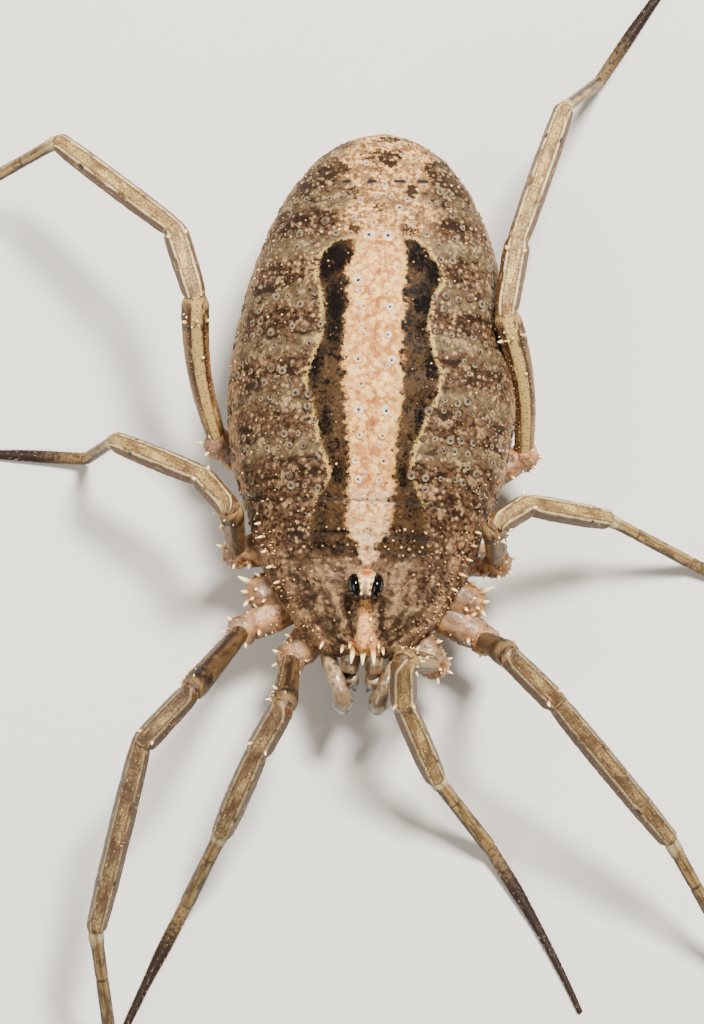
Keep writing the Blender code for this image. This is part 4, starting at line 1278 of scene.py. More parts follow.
        reach = np.hypot(points[:, 0], points[:, 1] + self.eye_row)
        ray = np.arctan2(points[:, 0], -(points[:, 1] + self.eye_row))
        ridge = curve_value(self.ridge_reach, down) - np.abs(across - self.mound_line)
        ridge = np.where((points[:, 2] > 2.0) & (down > 594), limit(ridge / 2.5 + 0.5), 0.0)
        belt = 0.5 + 0.5 * np.cos(2 * np.pi * (points[:, 1] - self.belt_start) / self.belt_step)
        belt = belt ** 2 * limit((points[:, 1] - 0.9) / 0.3)
        return dict(saddle=saddle, band=band, black=black, rim=rim, hood=hood, pink=pink, line=line,
            rear=rear, reach=reach, ray=ray, middle=points[:, 0], belt=belt, ridge=ridge, blotch=blotch,
            hoary=hoary, fold=self.fold_depth(points), flank=flank, mild=mild, under=under)

    def inside(self, left: tuple, right: tuple, span: tuple, across: Array,
               down: Array) -> Array:
        """How far pixels lie inside an outline.

        Args:
            left: the outline's left edge.
            right: its right edge.
            span: where it starts and ends, and how steep its start is.
            across: the pixels' places across the picture.
            down: the pixels' places down the picture.

        Returns:
            The distances, in millimetres; below zero outside.
        """
        edges = np.minimum(across - curve_value(left, down), curve_value(right, down) - across)
        start, end, slope = span
        scale = PHOTO.pixels_per_mm
        return np.minimum(np.minimum(edges / scale, (down - start) / scale * slope), (end - down) / scale)

    def station(self, s: float, column: int) -> float:
        """One number of the section at a row position."""
        return float(smooth_column(np.array(self.stations), column, np.array([s]))[0])

    def fold_depth(self, points: Array) -> Array:
        """How deep each vertex lies in a fold of the front part; below zero on a crest."""
        noise.seed_set(self.fold_seed)
        here = np.stack(PHOTO.pixels(points), axis=1)
        here += 7.0 * np.array([noise.noise_vector(Vector(p) * 2.4)[:2] for p in points])
        here += 3.0 * np.array([noise.noise_vector(Vector(p) * 7.0)[:2] for p in points])
        value = np.zeros(len(points))
        for strength, wide, *line in self.folds:
            far = np.full(len(points), 99.0)
            for start, end in zip(line[:-1], line[1:]):
                step = np.array(end, dtype=float) - start
                share = limit((here - start) @ step / (step @ step))
                far = np.minimum(far, np.linalg.norm(here - start - share[:, None] * step, axis=1))
            value += strength * np.exp(-(far / wide) ** 2)
        return np.where(points[:, 2] > 1.8, np.clip(value, -1.0, 1.0), 0.0)

    def patches(self, rows: tuple, across: Array, down: Array) -> Array:
        """Strongest of a list of soft oval patches at every vertex."""
        value = np.zeros(len(across))
        for x, y, wide, tall, strength in rows:
            far = np.hypot((across - x) / wide, (down - y) / tall)
            value = np.maximum(value, strength * limit(1.5 - far))
        return value

    def ridge_height(self, points: Array) -> Array:
        """Top of the ridge in front of the eye mound, or far below beside it."""
        cx, cy, cz = self.ridge_centre
        rx, ry, rz = self.ridge_radii
        span = 1.0 - ((points[:, 0] - cx) / rx) ** 2 - ((points[:, 1] - cy) / ry) ** 2
        return np.where(span > 0, cz + rz * np.sqrt(np.maximum(span, 0.0)), -9.0)

    def build(self) -> Piece:
        """Make the trunk's skin."""
        last = len(self.stations) - 1
        rows = (1.0 - np.cos(np.linspace(0.0, np.pi, self.rings + 2)[1:-1])) / 2
        rows = 0.35 * rows + 0.65 * np.linspace(0.0, 1.0, self.rings + 2)[1:-1]
        s = rows * last
        angle = np.linspace(0.0, 2 * np.pi, self.around, endpoint=False) - np.pi / 2
        grid_s, grid_a = np.meshgrid(s, angle, indexing="ij")
        points = self.surface(grid_s.ravel(), grid_a.ravel())
        lifted = self.surface(grid_s.ravel(), grid_a.ravel(), 1.0)
        outward = lifted - points
        outward /= np.linalg.norm(outward, axis=1)[:, None] + 1e-9
        depth = np.zeros(len(points))
        for row, strength in self.grooves:
            depth -= self.groove_depth * strength * np.exp(-((points[:, 1]
                - row) / self.groove_width) ** 2)
        wave = 0.014 * np.sin(points[:, 1] * 2 * np.pi / 0.62 + 0.6 * np.sin(points[:, 0] * 3.0))
        depth += np.where(points[:, 1] > 0.8, wave, 0.0)
        depth += np.array([0.022 * noise.noise(Vector(p) * 3.0) + 0.016 * noise.noise(Vector(p)
            * 9.0) for p in points])
        front = limit((0.3 - points[:, 1]) / 0.4)
        depth += front * np.array([0.03 * noise.noise(Vector(p) * 5.0) + 0.02 * noise.noise(Vector(p)
            * 12.0) for p in points])
        depth -= 0.045 * self.fold_depth(points)
        points = points + outward * depth[:, None]
        crest = self.ridge_height(points)
        points[:, 2] = np.where(points[:, 2] > 2.0, np.maximum(points[:, 2], crest), points[:, 2])
        grid = points.reshape(self.rings, self.around, 3)
        step = np.linalg.norm(np.roll(grid, -1, axis=1) - grid, axis=2)
        travel = np.cumsum(step, axis=1) - step
        lateral = travel - travel[:, self.around // 2][:, None]
        spine = grid[:, self.around // 2, :]
        along = np.concatenate(([0.0], np.cumsum(np.linalg.norm(np.diff(spine, axis=0), axis=1))))
        length = np.repeat(along, self.around)
        front = self.surface(np.array([0.0]), np.array([0.0]))
        rear = self.surface(np.array([float(last)]), np.array([0.0]))
        points = np.concatenate((points, front, rear))
        shape = Shape()
        values = self.markings(points)
        values["lateral"] = np.concatenate((lateral.ravel(), (0.0, 0.0)))
        values["along"] = np.concatenate((length, (0.0, along[-1])))
        shape.add(points, tube_faces(self.rings, self.around), **values)
        return shape.finish("trunk_skin", ("lateral", "along"))

    def place_rows(self, rng: random.Random, first: float, last: float, step: float,
                   spacing: float, low: float = -16.0, high: float = 196.0) -> Iterable[tuple]:
        """Places in rows across the back.

        Args:
            rng: the seeded draw.
            first: where the first row lies along the body.
            last: where the rows end.
            step: distance between rows.
            spacing: distance between places in a row.
            low: angle of the first place, from the animal's left.
            high: angle of the last place.

        Yields:
            Row number, row position on the stations and angle.
        """
        for number, y in enumerate(np.arange(first, last, step)):
            s = self.station_at(float(y))
            half = self.station(s, 1)
            tall = (self.station(s, 3) - self.station(s, 2)) * (1.0 - self.widest_share)
            girth = math.pi * math.sqrt((half * half + tall * tall) / 2) * (high - low) / 180.0
            count = max(int(girth / spacing), 3)
            for k in range(count):
                share = (k + 0.5 * (number % 2) + rng.uniform(-0.16, 0.16)) / count
                angle = math.radians(low + (high - low) * share)
                at = self.station_at(float(y) + rng.gauss(0.0, step * 0.13))
                yield number, at, angle

    def masks(self, places: Sequence[Vector]) -> dict[str, Array]:
        """The markings' values at a list of places."""
        return self.markings(np.array([place[:] for place in places]))

    def ring_seats(self, rng: random.Random) -> list[Seat]:
        """Rows of grey ring-shaped warts on the abdomen, in belts."""
        found = []
        step = self.belt_step / len(self.belt_rows)
        for number, s, angle in self.place_rows(rng, self.belt_start + step, 7.2, step,
                                                self.ring_spacing):
            place, normal = self.seat(min(s, 13.55), angle)
            found.append((number, angle, place, normal))
        marks = self.masks([place for _, _, place, _ in found])
        seats = []
        for i, (number, angle, place, normal) in enumerate(found):
            band = marks["band"][i]
            saddle = marks["saddle"][i]
            keep = self.belt_rows[number % len(self.belt_rows)]
            if place.y < 3.3:
                keep = max(keep, 0.55)
            if abs(math.cos(angle)) > 0.86:
                keep = max(keep, 0.72)
            if band > 0.08 and rng.random() < 0.35:
                wide = self.ring_radius * rng.uniform(0.42, 0.62)
                seats.append(Seat(place, normal, wide, wide * 0.15, rng.uniform(0.6, 1.0)))
            if band > -0.02 or saddle > 0.0:
                continue
            if rng.random() > keep:
                continue
            wide = self.ring_radius * rng.uniform(0.62, 1.12)
            wide *= float(np.interp(place.y, (5.8, 7.2), (1.0, 0.6)))
            seats.append(Seat(place, normal, wide, wide * 0.15, float(marks["rear"][i]) * 0.5))
        for y, side, wide in self.band_pairs:
            for sign in (-1.0, 1.0):
                s = self.station_at(y)
                half = self.station(s, 1)
                lean = self.sway + self.lean * 2.0
                place, normal = self.seat(s, math.acos((side * sign - lean) / half))
                seats.append(Seat(place, normal, wide, wide * 0.15, 1.0))
        return seats

    def granule_seats(self, rng: random.Random) -> list[Seat]:
        """Rows of shiny granules over the back, and finer ones between them."""
        found = []
        for number, s, angle in self.place_rows(rng, -1.5, 7.3, 0.134, 0.15):
            place, normal = self.seat(min(max(s, 0.3), 13.6), angle)
            found.append((number, place, normal))
        marks = self.masks([place for _, place, _ in found])
        seats = []
        for i, (number, place, normal) in enumerate(found):
            between = number % 2 == 1
            keep = 0.66 if between else 0.36
            if marks["belt"][i] > 0.5:
                keep *= 0.6
            if marks["saddle"][i] > 0.03 and marks["band"][i] < 0.0:
                keep *= 0.40
            if rng.random() > keep:
                continue
            bright = rng.random() < (0.16 if between else 0.06)
            wide = rng.uniform(0.016, 0.027) if bright else rng.uniform(0.014, 0.024)
            shade = 0.0 if bright else rng.uniform(0.5, 1.0)
            if marks["band"][i] > 0.0:
                shade *= 0.45
            seats.append(Seat(place, normal, wide, wide * rng.uniform(0.9, 1.4), shade))
        for y, reach, count in self.bright_rows:
            half = float(np.interp(y, [row[0] for row in self.stations],
                [row[1] for row in self.stations]))
            for k in range(count):
                x = reach * (2.0 * (k + rng.uniform(0.2, 0.8)) / count - 1.0)
                place, normal = self.seat(self.station_at(y + rng.uniform(-0.03, 0.03)),
                    math.acos(x / half))
                size = rng.uniform(0.018, 0.032)
                seats.append(Seat(place, normal, size, size * 1.2, rng.uniform(0.35, 1.0)))
        return seats


@dataclass
class EyeMound:
    """The eye mound with its two rows of denticles, and the eyes."""

    centre: Vector = field(default_factory=lambda: Vector((0.0, -0.71, 3.04)))
    radii: Vector = field(default_factory=lambda: Vector((0.19, 0.27, 0.33)))
    eye_side: float = 0.185
    eye_y: float = -0.76
    eye_z: float = 3.14
    eye_radii: Vector = field(default_factory=lambda: Vector((0.125, 0.215, 0.185)))
    flare: float = 0.3
    eye_flare: float = 0.1
    rows: tuple = (-0.90, -0.82, -0.73, -0.64)
    row_side: float = 0.085

    def ball(self, name: str, centre: Vector, radii: Vector, rings: int, around: int, flare: float,
             wobble: float = 0.0) -> Piece:
        """A fine ellipsoid that widens to the rear, with the mound's named values."""
        theta = np.linspace(0.0, np.pi, rings)[1:-1]
        phi = np.linspace(0.0, 2 * np.pi, around, endpoint=False)
        grid_t, grid_p = np.meshgrid(theta, phi, indexing="ij")
        unit = np.stack((np.sin(grid_t) * np.cos(grid_p), np.sin(grid_t) * np.sin(grid_p),
            np.cos(grid_t)), axis=-1).reshape(-1, 3)
        unit = np.concatenate((unit, ((0.0, 0.0, 1.0), (0.0, 0.0, -1.0))))
        swell = np.array([1.0 + wobble * noise.noise(Vector(p) * 3.0) for p in unit])
        points = unit * np.array(radii) * swell[:, None] + np.array(centre)
        points[:, 0] *= 1.0 + flare * unit[:, 1]
        far = np.hypot(unit[:, 0] / 0.55, (unit[:, 1] - 0.62) / 0.36)
        patch = np.where(unit[:, 2] > 0, limit(1.5 - far), 0.0)
        # Front foot of the ball, which the mound's finish darkens as painted shade.
        foot = limit((-unit[:, 1] - 0.72) / 0.15)
        shape = Shape()
        shape.add(points, tube_faces(len(theta), around), patch=patch, foot=foot, lateral=points[:, 0],
            along=points[:, 1])
        return shape.finish(name, ("lateral", "along"))

    def build(self) -> dict[str, Piece]:
        """Make the mound and the two eyes."""
        made = {"ocularium": self.ball("eye_mound", self.centre, self.radii, 48, 64, self.flare, 0.06)}
        for side in Side:
            centre = Vector((self.eye_side * side.value, self.eye_y, self.eye_z))
            name = "eye_" + side.word
            made[name] = self.ball(name + "_dome", centre, self.eye_radii, 32, 40, self.eye_flare)
        return made

    def denticles(self) -> list[Seat]:
        """Two rows of denticles on the mound."""
        seats = []
        for sign in (-1.0, 1.0):
            for y in self.rows:
                ahead = (y - self.centre.y) / self.radii.y
                span = 1.0 - (self.row_side / self.radii.x) ** 2 - ahead ** 2
                z = self.centre.z + self.radii.z * math.sqrt(max(span, 0.0))
                place = Vector((self.row_side * sign * (1.0 + self.flare * ahead), y, z))
                lie = place - self.centre + Vector((0.0, 0.0, 0.15))
                seats.append(Seat(place, lie, 0.036, 0.085))
        return seats


@dataclass
class Spines:
    """The trident, its ridge and the denticles on the margins."""

    trident: tuple = ((-0.17, -6.0), (0.0, 0.0), (0.17, 6.0))
    trident_y: float = -1.70
    trident_z: float = 2.30
    trident_length: float = 0.39
    trident_radius: float = 0.064
    trident_rise: float = 34.0
    margin: tuple = ((-0.7, -1.58, 0.15), (0.74, -1.6, 0.15), (-0.36, -1.66, 0.13), (0.34, -1.66, 0.14),
        (-0.23, -1.62, 0.12), (0.26, -1.61, 0.12), (-0.12, -1.5, 0.12), (0.13, -1.49, 0.12), (-0.06,
        -1.28, 0.1), (0.1, -1.22, 0.1))
    edge_rows: tuple = (-0.55, -0.30, -0.05, 0.20, 0.42)
    edge_reach: float = 0.93
    small: int = 64
    seed: int = 29

    def seats(self, trunk: Trunk) -> list[Seat]:
        """Where the spines of the front part sit."""
        seats = []
        for side, azimuth in self.trident:
            out = direction(-90.0 + azimuth, self.trident_rise)
            seats.append(Seat(Vector((side, self.trident_y, self.trident_z)), out, self.trident_radius,
                self.trident_length))
        for x, y, tall in self.margin:
            s = trunk.station_at(y)
            half = trunk.station(s, 1)
            place, normal = trunk.seat(s, math.acos(max(-1.0, min(1.0, x / half))))
            seats.append(Seat(place, normal + Vector((0.0, -0.6, 0.0)), 0.04, tall))
        for y in self.edge_rows:
            s = trunk.station_at(y)
            for sign in (-1.0, 1.0):
                place, normal = trunk.seat(s, math.acos(sign * self.edge_reach))
                seats.append(Seat(place, normal + Vector((0.4 * sign, 0.0, 0.0)), 0.036, 0.12))
        rng = random.Random(self.seed)
        for _ in range(self.small):
            y = rng.uniform(-1.35, 0.45)
            sign = rng.choice((-1.0, 1.0))
            place, normal = trunk.seat(trunk.station_at(y), math.acos(sign * rng.uniform(0.84, 0.985)))
            size = rng.uniform(0.016, 0.027)
            seats.append(Seat(place, normal + Vector((0.5 * sign, 0.0, 0.1)), size, size
                * rng.uniform(1.3, 2.4), rng.uniform(0.45, 1.0)))
        return seats


def direction(azimuth: float, rise: float) -> Vector:
    """Unit vector from an azimuth and a rise in degrees."""
    a = math.radians(azimuth)
    e = math.radians(rise)
    return Vector((math.cos(e) * math.cos(a), math.cos(e) * math.sin(a), math.sin(e)))


@dataclass(frozen=True)
class Pair:
    """Sizes that a left and a right leg share."""

    root: tuple
    hip: tuple
    lengths: tuple
    radii: tuple


@dataclass(frozen=True)
class Stance:
    """How one leg is held: azimuths, rises and the turn of its tarsus."""

    azimuth: tuple
    rise: tuple
    turn: float


PAIRS = {
    1: Pair((0.45, -0.80, 1.30), (1.25, -1.76, 1.45), (2.10, 1.00, 1.75, 1.80, 3.30),
            (0.225, 0.25, 0.235, 0.15, 0.115)),
    2: Pair((0.50, -0.25, 1.25), (2.12, -1.30, 1.50), (3.05, 1.28, 3.35, 3.10, 6.60),
            (0.225, 0.235, 0.225, 0.135, 0.11)),
    3: Pair((0.55, 0.40, 1.22), (2.27, 0.10, 1.45), (1.95, 0.95, 1.80, 2.15, 3.60),
            (0.21, 0.232, 0.226, 0.125, 0.105)),
    4: Pair((0.60, 1.00, 1.20), (2.67, 2.00, 1.50), (3.05, 1.28, 2.78, 3.15, 4.40),
            (0.235, 0.245, 0.225, 0.125, 0.105)),
}
STANCES = {
    (1, Side.LEFT): Stance((-148, -86, -59, -44, -54), (72, -50, -46), -10),
    (1, Side.RIGHT): Stance((-94, -120, -114, -119, -116), (56, -30, -37), 6),
    (2, Side.LEFT): Stance((-66, -38, -44, -54, -58), (73, -28, -30), -12),
    (2, Side.RIGHT): Stance((-117, -132, -102, -79, -84), (54, -14, -20), -14),
    (3, Side.LEFT): Stance((110, 42, 1, -15, -20), (82, -35, -37), -14),
    (3, Side.RIGHT): Stance((109, 130, 156, 168, 176), (79, -24, -20), 10),
    (4, Side.LEFT): Stance((102, 83, 74, 62, 61), (46, 4, -14), -8),
    (4, Side.RIGHT): Stance((103, 109, 142, 196, 192), (43, -4, -15), -10),
}


@dataclass
class Leg:
    """One leg, from its coxa to the tip of its tarsus."""

    pair: int
    side: Side
    ankle: float = 0.27
    landing: float = 0.28
    press: float = 0.8
    tip_share: float = 0.42
    bow: float = 0.14
    coxa_radius: float = 0.35
    trochanter_radius: float = 0.27
    around: int = 50
    section_step: float = 0.03
    trochanter_teeth: tuple = ((-70, 20, 0.11), (-25, 10, 0.13), (25, 10, 0.13), (70, 20, 0.11), (0, 55,
        0.1))
    coxa_teeth: dict = field(default_factory=lambda: {
        1: ((0.62, -60, 0.13), (0.80, -60, 0.12)), 2: ((0.80, -40, 0.13), (0.90, 40, 0.13)),
        3: ((0.72, -70, 0.13), (0.90, 60, 0.13)), 4: ((0.86, 60, 0.12),)})
    lobe: tuple = ((1.30, -0.46, 1.55), (2.12, -0.74, 1.62))
    lobe_radius: float = 0.33
    lobe_teeth: tuple = ((0.8, -52, 0.28), (0.94, -15, 0.16), (0.95, 50, 0.15), (0.58, -62, 0.13), (0.72,
        -5, 0.1), (0.86, 25, 0.1), (0.66, 40, 0.09), (0.45, -40, 0.08))
    knee_teeth: tuple = ((0.86, -50, 0.13), (0.88, 0, 0.14), (0.86, 50, 0.13), (0.62, 20, 0.09))
    patella_teeth: tuple = ((0.84, -36, 0.10), (0.84, 36, 0.10))
    knee_grains: int = 12
    knob_grains: int = 18
    coxa_grains: int = 26
    grains_per_mm: int = 44
    bristles_per_mm: int = 15
    foot_bristles_per_mm: int = 34
    row_angles: tuple = (-62, -38, 38, 62)
    row_spacing: float = 0.13
    # How much painted shade each leg gets, more for the legs that lie in shade.
    painted_shade_by_leg: dict = field(default_factory=lambda: {
        (1, Side.LEFT): 0.28, (1, Side.RIGHT): 0.45, (2, Side.LEFT): 0.42, (2, Side.RIGHT): 0.5,
        (3, Side.LEFT): 0.15, (3, Side.RIGHT): 0.18, (4, Side.LEFT): 0.05, (4, Side.RIGHT): 0.08})
    profiles: dict = field(default_factory=lambda: {
        Length.FEMUR: ((0.0, 0.50), (0.02, 0.62), (0.06, 0.72), (0.3, 0.83), (0.65, 0.96),
                       (0.86, 1.05), (0.95, 1.02), (0.98, 0.88), (1.0, 0.74)),
        Length.PATELLA: ((0.0, 0.72), (0.03, 0.82), (0.12, 0.92), (0.40, 0.97), (0.80, 1.0),
                         (0.93, 0.99), (0.98, 0.88), (1.0, 0.74)),
        Length.TIBIA: ((0.0, 0.76), (0.02, 0.84), (0.08, 0.93), (0.35, 1.0), (0.75, 0.97),
                       (0.93, 0.88), (0.985, 0.82), (1.0, 0.62)),
        Length.METATARSUS: ((0.0, 0.80), (0.012, 1.0), (0.05, 1.02), (0.12, 0.86), (0.31, 0.84),
                            (0.33, 0.76), (0.35, 0.84), (0.95, 0.88), (0.985, 0.84), (1.0, 0.66)),
    })

    @property
    def label(self) -> str:
        """The start of the names of this leg's nodes."""
        return "leg_%d_%s" % (self.pair, self.side.word)

    def mirrored(self, point: Sequence[float]) -> Vector:
        """A left point, mirrored where this is a right leg."""
        return Vector((point[0] * self.side.value, point[1], point[2]))

    def joints(self) -> list[Vector]:
        """Hip, knee and further joints down to the ankle."""
        sizes = PAIRS[self.pair]
        stance = STANCES[(self.pair, self.side)]
        joints = [self.mirrored(sizes.hip)]
        for k in range(3):
            step = direction(stance.azimuth[k], stance.rise[k])
            joints.append(joints[-1] + step * sizes.lengths[k])
        drop = joints[-1].z - self.ankle
        fall = -math.degrees(math.asin(min(drop / sizes.lengths[3], 0.97)))
        joints.append(joints[-1] + direction(stance.azimuth[3], fall) * sizes.lengths[3])
        joints[-1].z = self.ankle
        return joints

    def hip_ends(self) -> tuple[Vector, Vector]:
        """Where the coxa leaves the body and where it ends."""
        sizes = PAIRS[self.pair]
        return self.mirrored(sizes.root), self.mirrored(sizes.hip)

    def outward(self) -> Vector:
        """Sideways, away from the body."""
        return Vector((self.side.value, 0.0, 0.0))

    def upper(self, start: Vector, end: Vector) -> Vector:
        """A length's upper side, as seen from above."""
        along = (end - start).normalized()
        up = Vector((0.0, 0.0, 1.0))
        if abs(along.z) > 0.8:
            up = self.outward()
        return (up - along * up.dot(along)).normalized()

    def shank_course(self) -> Course:
        """Sections of the shank, from hip to ankle, with rounded joints."""
        sizes = PAIRS[self.pair]
        joints = self.joints()
        points = []
        uppers = []
        radii = []
        keels = []
        kinds = []
        shares = []
        along = []
        travel = 0.0
        for length in Length:
            k = length.value
            start = joints[k]
            end = joints[k + 1]
            steps = int(sizes.lengths[k] / self.section_step)
            share = (np.arange(steps) + 0.5) / steps
            keeled = 1.0 if length in (Length.PATELLA, Length.TIBIA) else 0.0
            for t in share:
                point = start.lerp(end, t)
                if length is Length.FEMUR and self.pair == 4:
                    point = point + self.outward() * self.bow * math.sin(math.pi * t)
                points.append(point[:])
                uppers.append(self.upper(start, end)[:])
            radii.append(sizes.radii[k] * curve_value(self.profiles[length], share))
            fade = limit(np.minimum(share, 1.0 - share) / 0.06)
            keels.append(fade * keeled)
            kinds.append(np.full(steps, float(k)))
            shares.append(share)
            along.append(travel + share * sizes.lengths[k])
            travel += sizes.lengths[k]
        values = dict(kind=np.concatenate(kinds), share=np.concatenate(shares),
            along=np.concatenate(along))
        # Each leg's share of painted shade.
        values["dim"] = np.full(len(points), self.painted_shade_by_leg[(self.pair, self.side)])
        return Course(soften(np.array(points), 7), unit_rows(soften(np.array(uppers), 14)),
            soften(np.concatenate(radii)[:, None], 1)[:, 0], np.concatenate(keels), values)

    def build_shank(self, course: Course) -> Piece:
        """Femur, patella, tibia and metatarsus under one skin."""
        shape = Shape()
        course.sweep(shape, self.around, 0.14, 0.03, 9.0)
        return shape.finish(self.label + "_shank", ("girth", "along"))

    def index_at(self, course: Course, length: Length, share: float) -> int:
        """Number of the section at a share of one length."""
        kinds = course.values["kind"]
        near = np.abs(course.values["share"] - share) + np.abs(kinds - length.value) * 10.0
        return int(np.argmin(near))

    def teeth(self, course: Course, rng: random.Random) -> list[Seat]:
        """Teeth of the knee and patella, and those of the coxa and trochanter."""
        seats = []
        for length, rows in ((Length.FEMUR, self.knee_teeth), (Length.PATELLA, self.patella_teeth)):
            for share, degrees, tall in rows:
                index = self.index_at(course, length, share)
                place, out = course.seat(index, degrees)
                seats.append(Seat(place, out + course.ahead(index) * 0.5, 0.04, tall))
        for _ in range(self.knee_grains):
            index = self.index_at(course, Length.FEMUR, rng.uniform(0.84, 0.97))
            place, out = course.seat(index, rng.uniform(-110, 110))
            size = rng.uniform(0.014, 0.024)
            seats.append(Seat(place, out, size, size * 2.2, rng.uniform(0.0, 0.4)))
        root, hip = self.hip_ends()
        along = (hip - root).normalized()
        heading = math.degrees(math.atan2(along.y, along.x))
        for turn, rise, tall in self.trochanter_teeth:
            out = direction(heading + turn, rise)
            seats.append(Seat(hip + out * self.trochanter_radius * 0.96, out, 0.042, tall))
        upper = self.upper(root, hip)
        across = along.cross(upper)
        for share, degrees, tall in self.coxa_teeth[self.pair]:
            turn = math.radians(degrees * self.side.value)
            out = across * math.sin(turn) + upper * math.cos(turn)
            place = root.lerp(hip, share) + out * self.coxa_radius * 0.86
            seats.append(Seat(place, out + along * 0.5, 0.045, tall))
        lobe = self.lobe_course()
        for share, degrees, tall in self.lobe_teeth if self.pair == 2 else ():
            index = int(share * (len(lobe.points) - 1))
            place, out = lobe.seat(index, degrees * self.side.value, 0.94)
            ahead = Vector(lobe.points[-1] - lobe.points[0]).normalized()
            seats.append(Seat(place, out + ahead * 1.1, 0.03 + tall * 0.12, tall))
        for _ in range(self.knob_grains):
            out = direction(heading + rng.uniform(-125, 125), rng.uniform(-15, 75))
            size = rng.uniform(0.014, 0.025)
            seats.append(Seat(hip + out * self.trochanter_radius * 0.97, out, size, size
                * rng.uniform(1.2, 2.4), rng.uniform(0.2, 0.9)))
        for _ in range(self.coxa_grains):
            share = rng.uniform(0.45, 0.95)
            turn = math.radians(rng.uniform(-100, 100))
            out = across * math.sin(turn) + upper * math.cos(turn)
            reach = self.coxa_radius * float(curve_value(self.coxa_profile(), np.array([share]))[0])
            size = rng.uniform(0.014, 0.026)
            seats.append(Seat(root.lerp(hip, share) + out * reach * 0.97, out, size, size
                * rng.uniform(1.0, 2.4), rng.uniform(0.0, 0.8)))
        return seats

    def grains(self, course: Course, rng: random.Random) -> list[Seat]:
        """Fine pale grains on the upper faces of patella and tibia, and femoral rows."""
        seats = []
        sizes = PAIRS[self.pair]
        for length in (Length.PATELLA, Length.TIBIA):
            for _ in range(int(sizes.lengths[length.value] * self.grains_per_mm)):
                index = self.index_at(course, length, rng.uniform(0.05, 0.95))
                degrees = rng.choice((-36, 36)) if rng.random() < 0.4 else rng.uniform(-100, 100)
                place, out = course.seat(index, degrees + rng.uniform(-3, 3))
                size = rng.uniform(0.008, 0.014)
                seats.append(Seat(place, out, size, size * 1.3, rng.uniform(0.0, 0.8)))
        count = sizes.lengths[0] / self.row_spacing
        for row in self.row_angles:
            for k in range(int(count)):
                share = 0.08 + 0.8 * (k + rng.uniform(-0.2, 0.2)) / count
                place, out = course.seat(self.index_at(course, Length.FEMUR, share), row)
                seats.append(Seat(place, out, 0.011, 0.018, rng.uniform(0.2, 1.0)))
        return seats

    def hairs(self, course: Course, rng: random.Random) -> list[Seat]:
        """Short bristles on tibia and metatarsus, and on the tarsus."""
        seats = []
        sizes = PAIRS[self.pair]
        for length in (Length.TIBIA, Length.METATARSUS):
            for _ in range(int(sizes.lengths[length.value] * self.bristles_per_mm)):
                index = self.index_at(course, length, rng.uniform(0.05, 0.97))
                place, out = course.seat(index, rng.uniform(-150, 150))
                seats.append(Seat(place, out + course.ahead(index) * 1.6, 0.004, rng.uniform(0.05, 0.09),
                    rng.uniform(0.3, 1.0)))
        points, radii, _ = self.tarsus()
        up = Vector((0.0, 0.0, 1.0))
        for _ in range(int(sizes.lengths[4] * self.foot_bristles_per_mm)):
            k = rng.randrange(2, len(points) - 3)
            ahead = (points[k + 1] - points[k]).normalized()
            turn = math.radians(rng.uniform(-95, 95))
            beside = ahead.cross(up)
            out = beside * math.sin(turn) + up * math.cos(turn)
            seats.append(Seat(points[k] + out * float(radii[k]) * 0.94, out + ahead * 1.6, 0.0035,
                rng.uniform(0.04, 0.075), rng.uniform(0.3, 1.0)))
        return seats

    def coxa_profile(self) -> tuple:
        """Share of the coxa's radius at shares of its length."""
        return ((0.0, 0.85), (0.35, 1.0), (0.75, 0.92), (0.94, 0.74), (1.0, 0.6))

    def build_hip(self) -> Piece:
        """Coxa and trochanter in one piece."""
        root, hip = self.hip_ends()
        shape = Shape()
        steps = 60
        share = np.linspace(0.0, 1.0, steps)
        upper = np.tile(np.array(self.upper(root, hip)), (steps, 1))
        points = np.array([root.lerp(hip, t)[:] for t in share])
        coxa = Course(points, upper, self.coxa_radius * curve_value(self.coxa_profile(), share),
            np.zeros(steps), dict(share=limit((share - 0.7) * 3), along=share))
        coxa.sweep(shape, 60, 0.0, 0.10, 5.0)
        steps = 40
        theta = np.linspace(0.03, np.pi - 0.03, steps)
        reach = np.array((hip - root).normalized())
        points = np.array(hip) - reach * self.trochanter_radius * np.cos(theta)[:, None]
        upper = np.tile(np.array(self.upper(root, hip)), (steps, 1))
        knob = Course(points, upper, self.trochanter_radius * np.sin(theta), np.zeros(steps),
            dict(share=np.ones(steps), along=theta))
        knob.sweep(shape, 60, 0.0, 0.14, 6.0)
        if self.pair == 2:
            self.lobe_course().sweep(shape, 60, 0.0, 0.16, 5.0)
        return shape.finish(self.label + "_hip", ("round", "along"))

    def lobe_course(self) -> Course:
        """Sections of the spiny lobe behind the second coxa."""
        start, end = (self.mirrored(p) for p in self.lobe)
        share = np.linspace(0.0, 1.0, 40)
        points = np.array([start.lerp(end, t)[:] for t in share])
        girth = self.lobe_radius * np.sqrt(np.clip(1.0 - share ** 4, 0.02, 1.0))
        upper = np.tile(np.array(self.upper(start, end)), (40, 1))
        return Course(points, upper, girth, np.zeros(40), dict(share=share * 0.7, along=share))

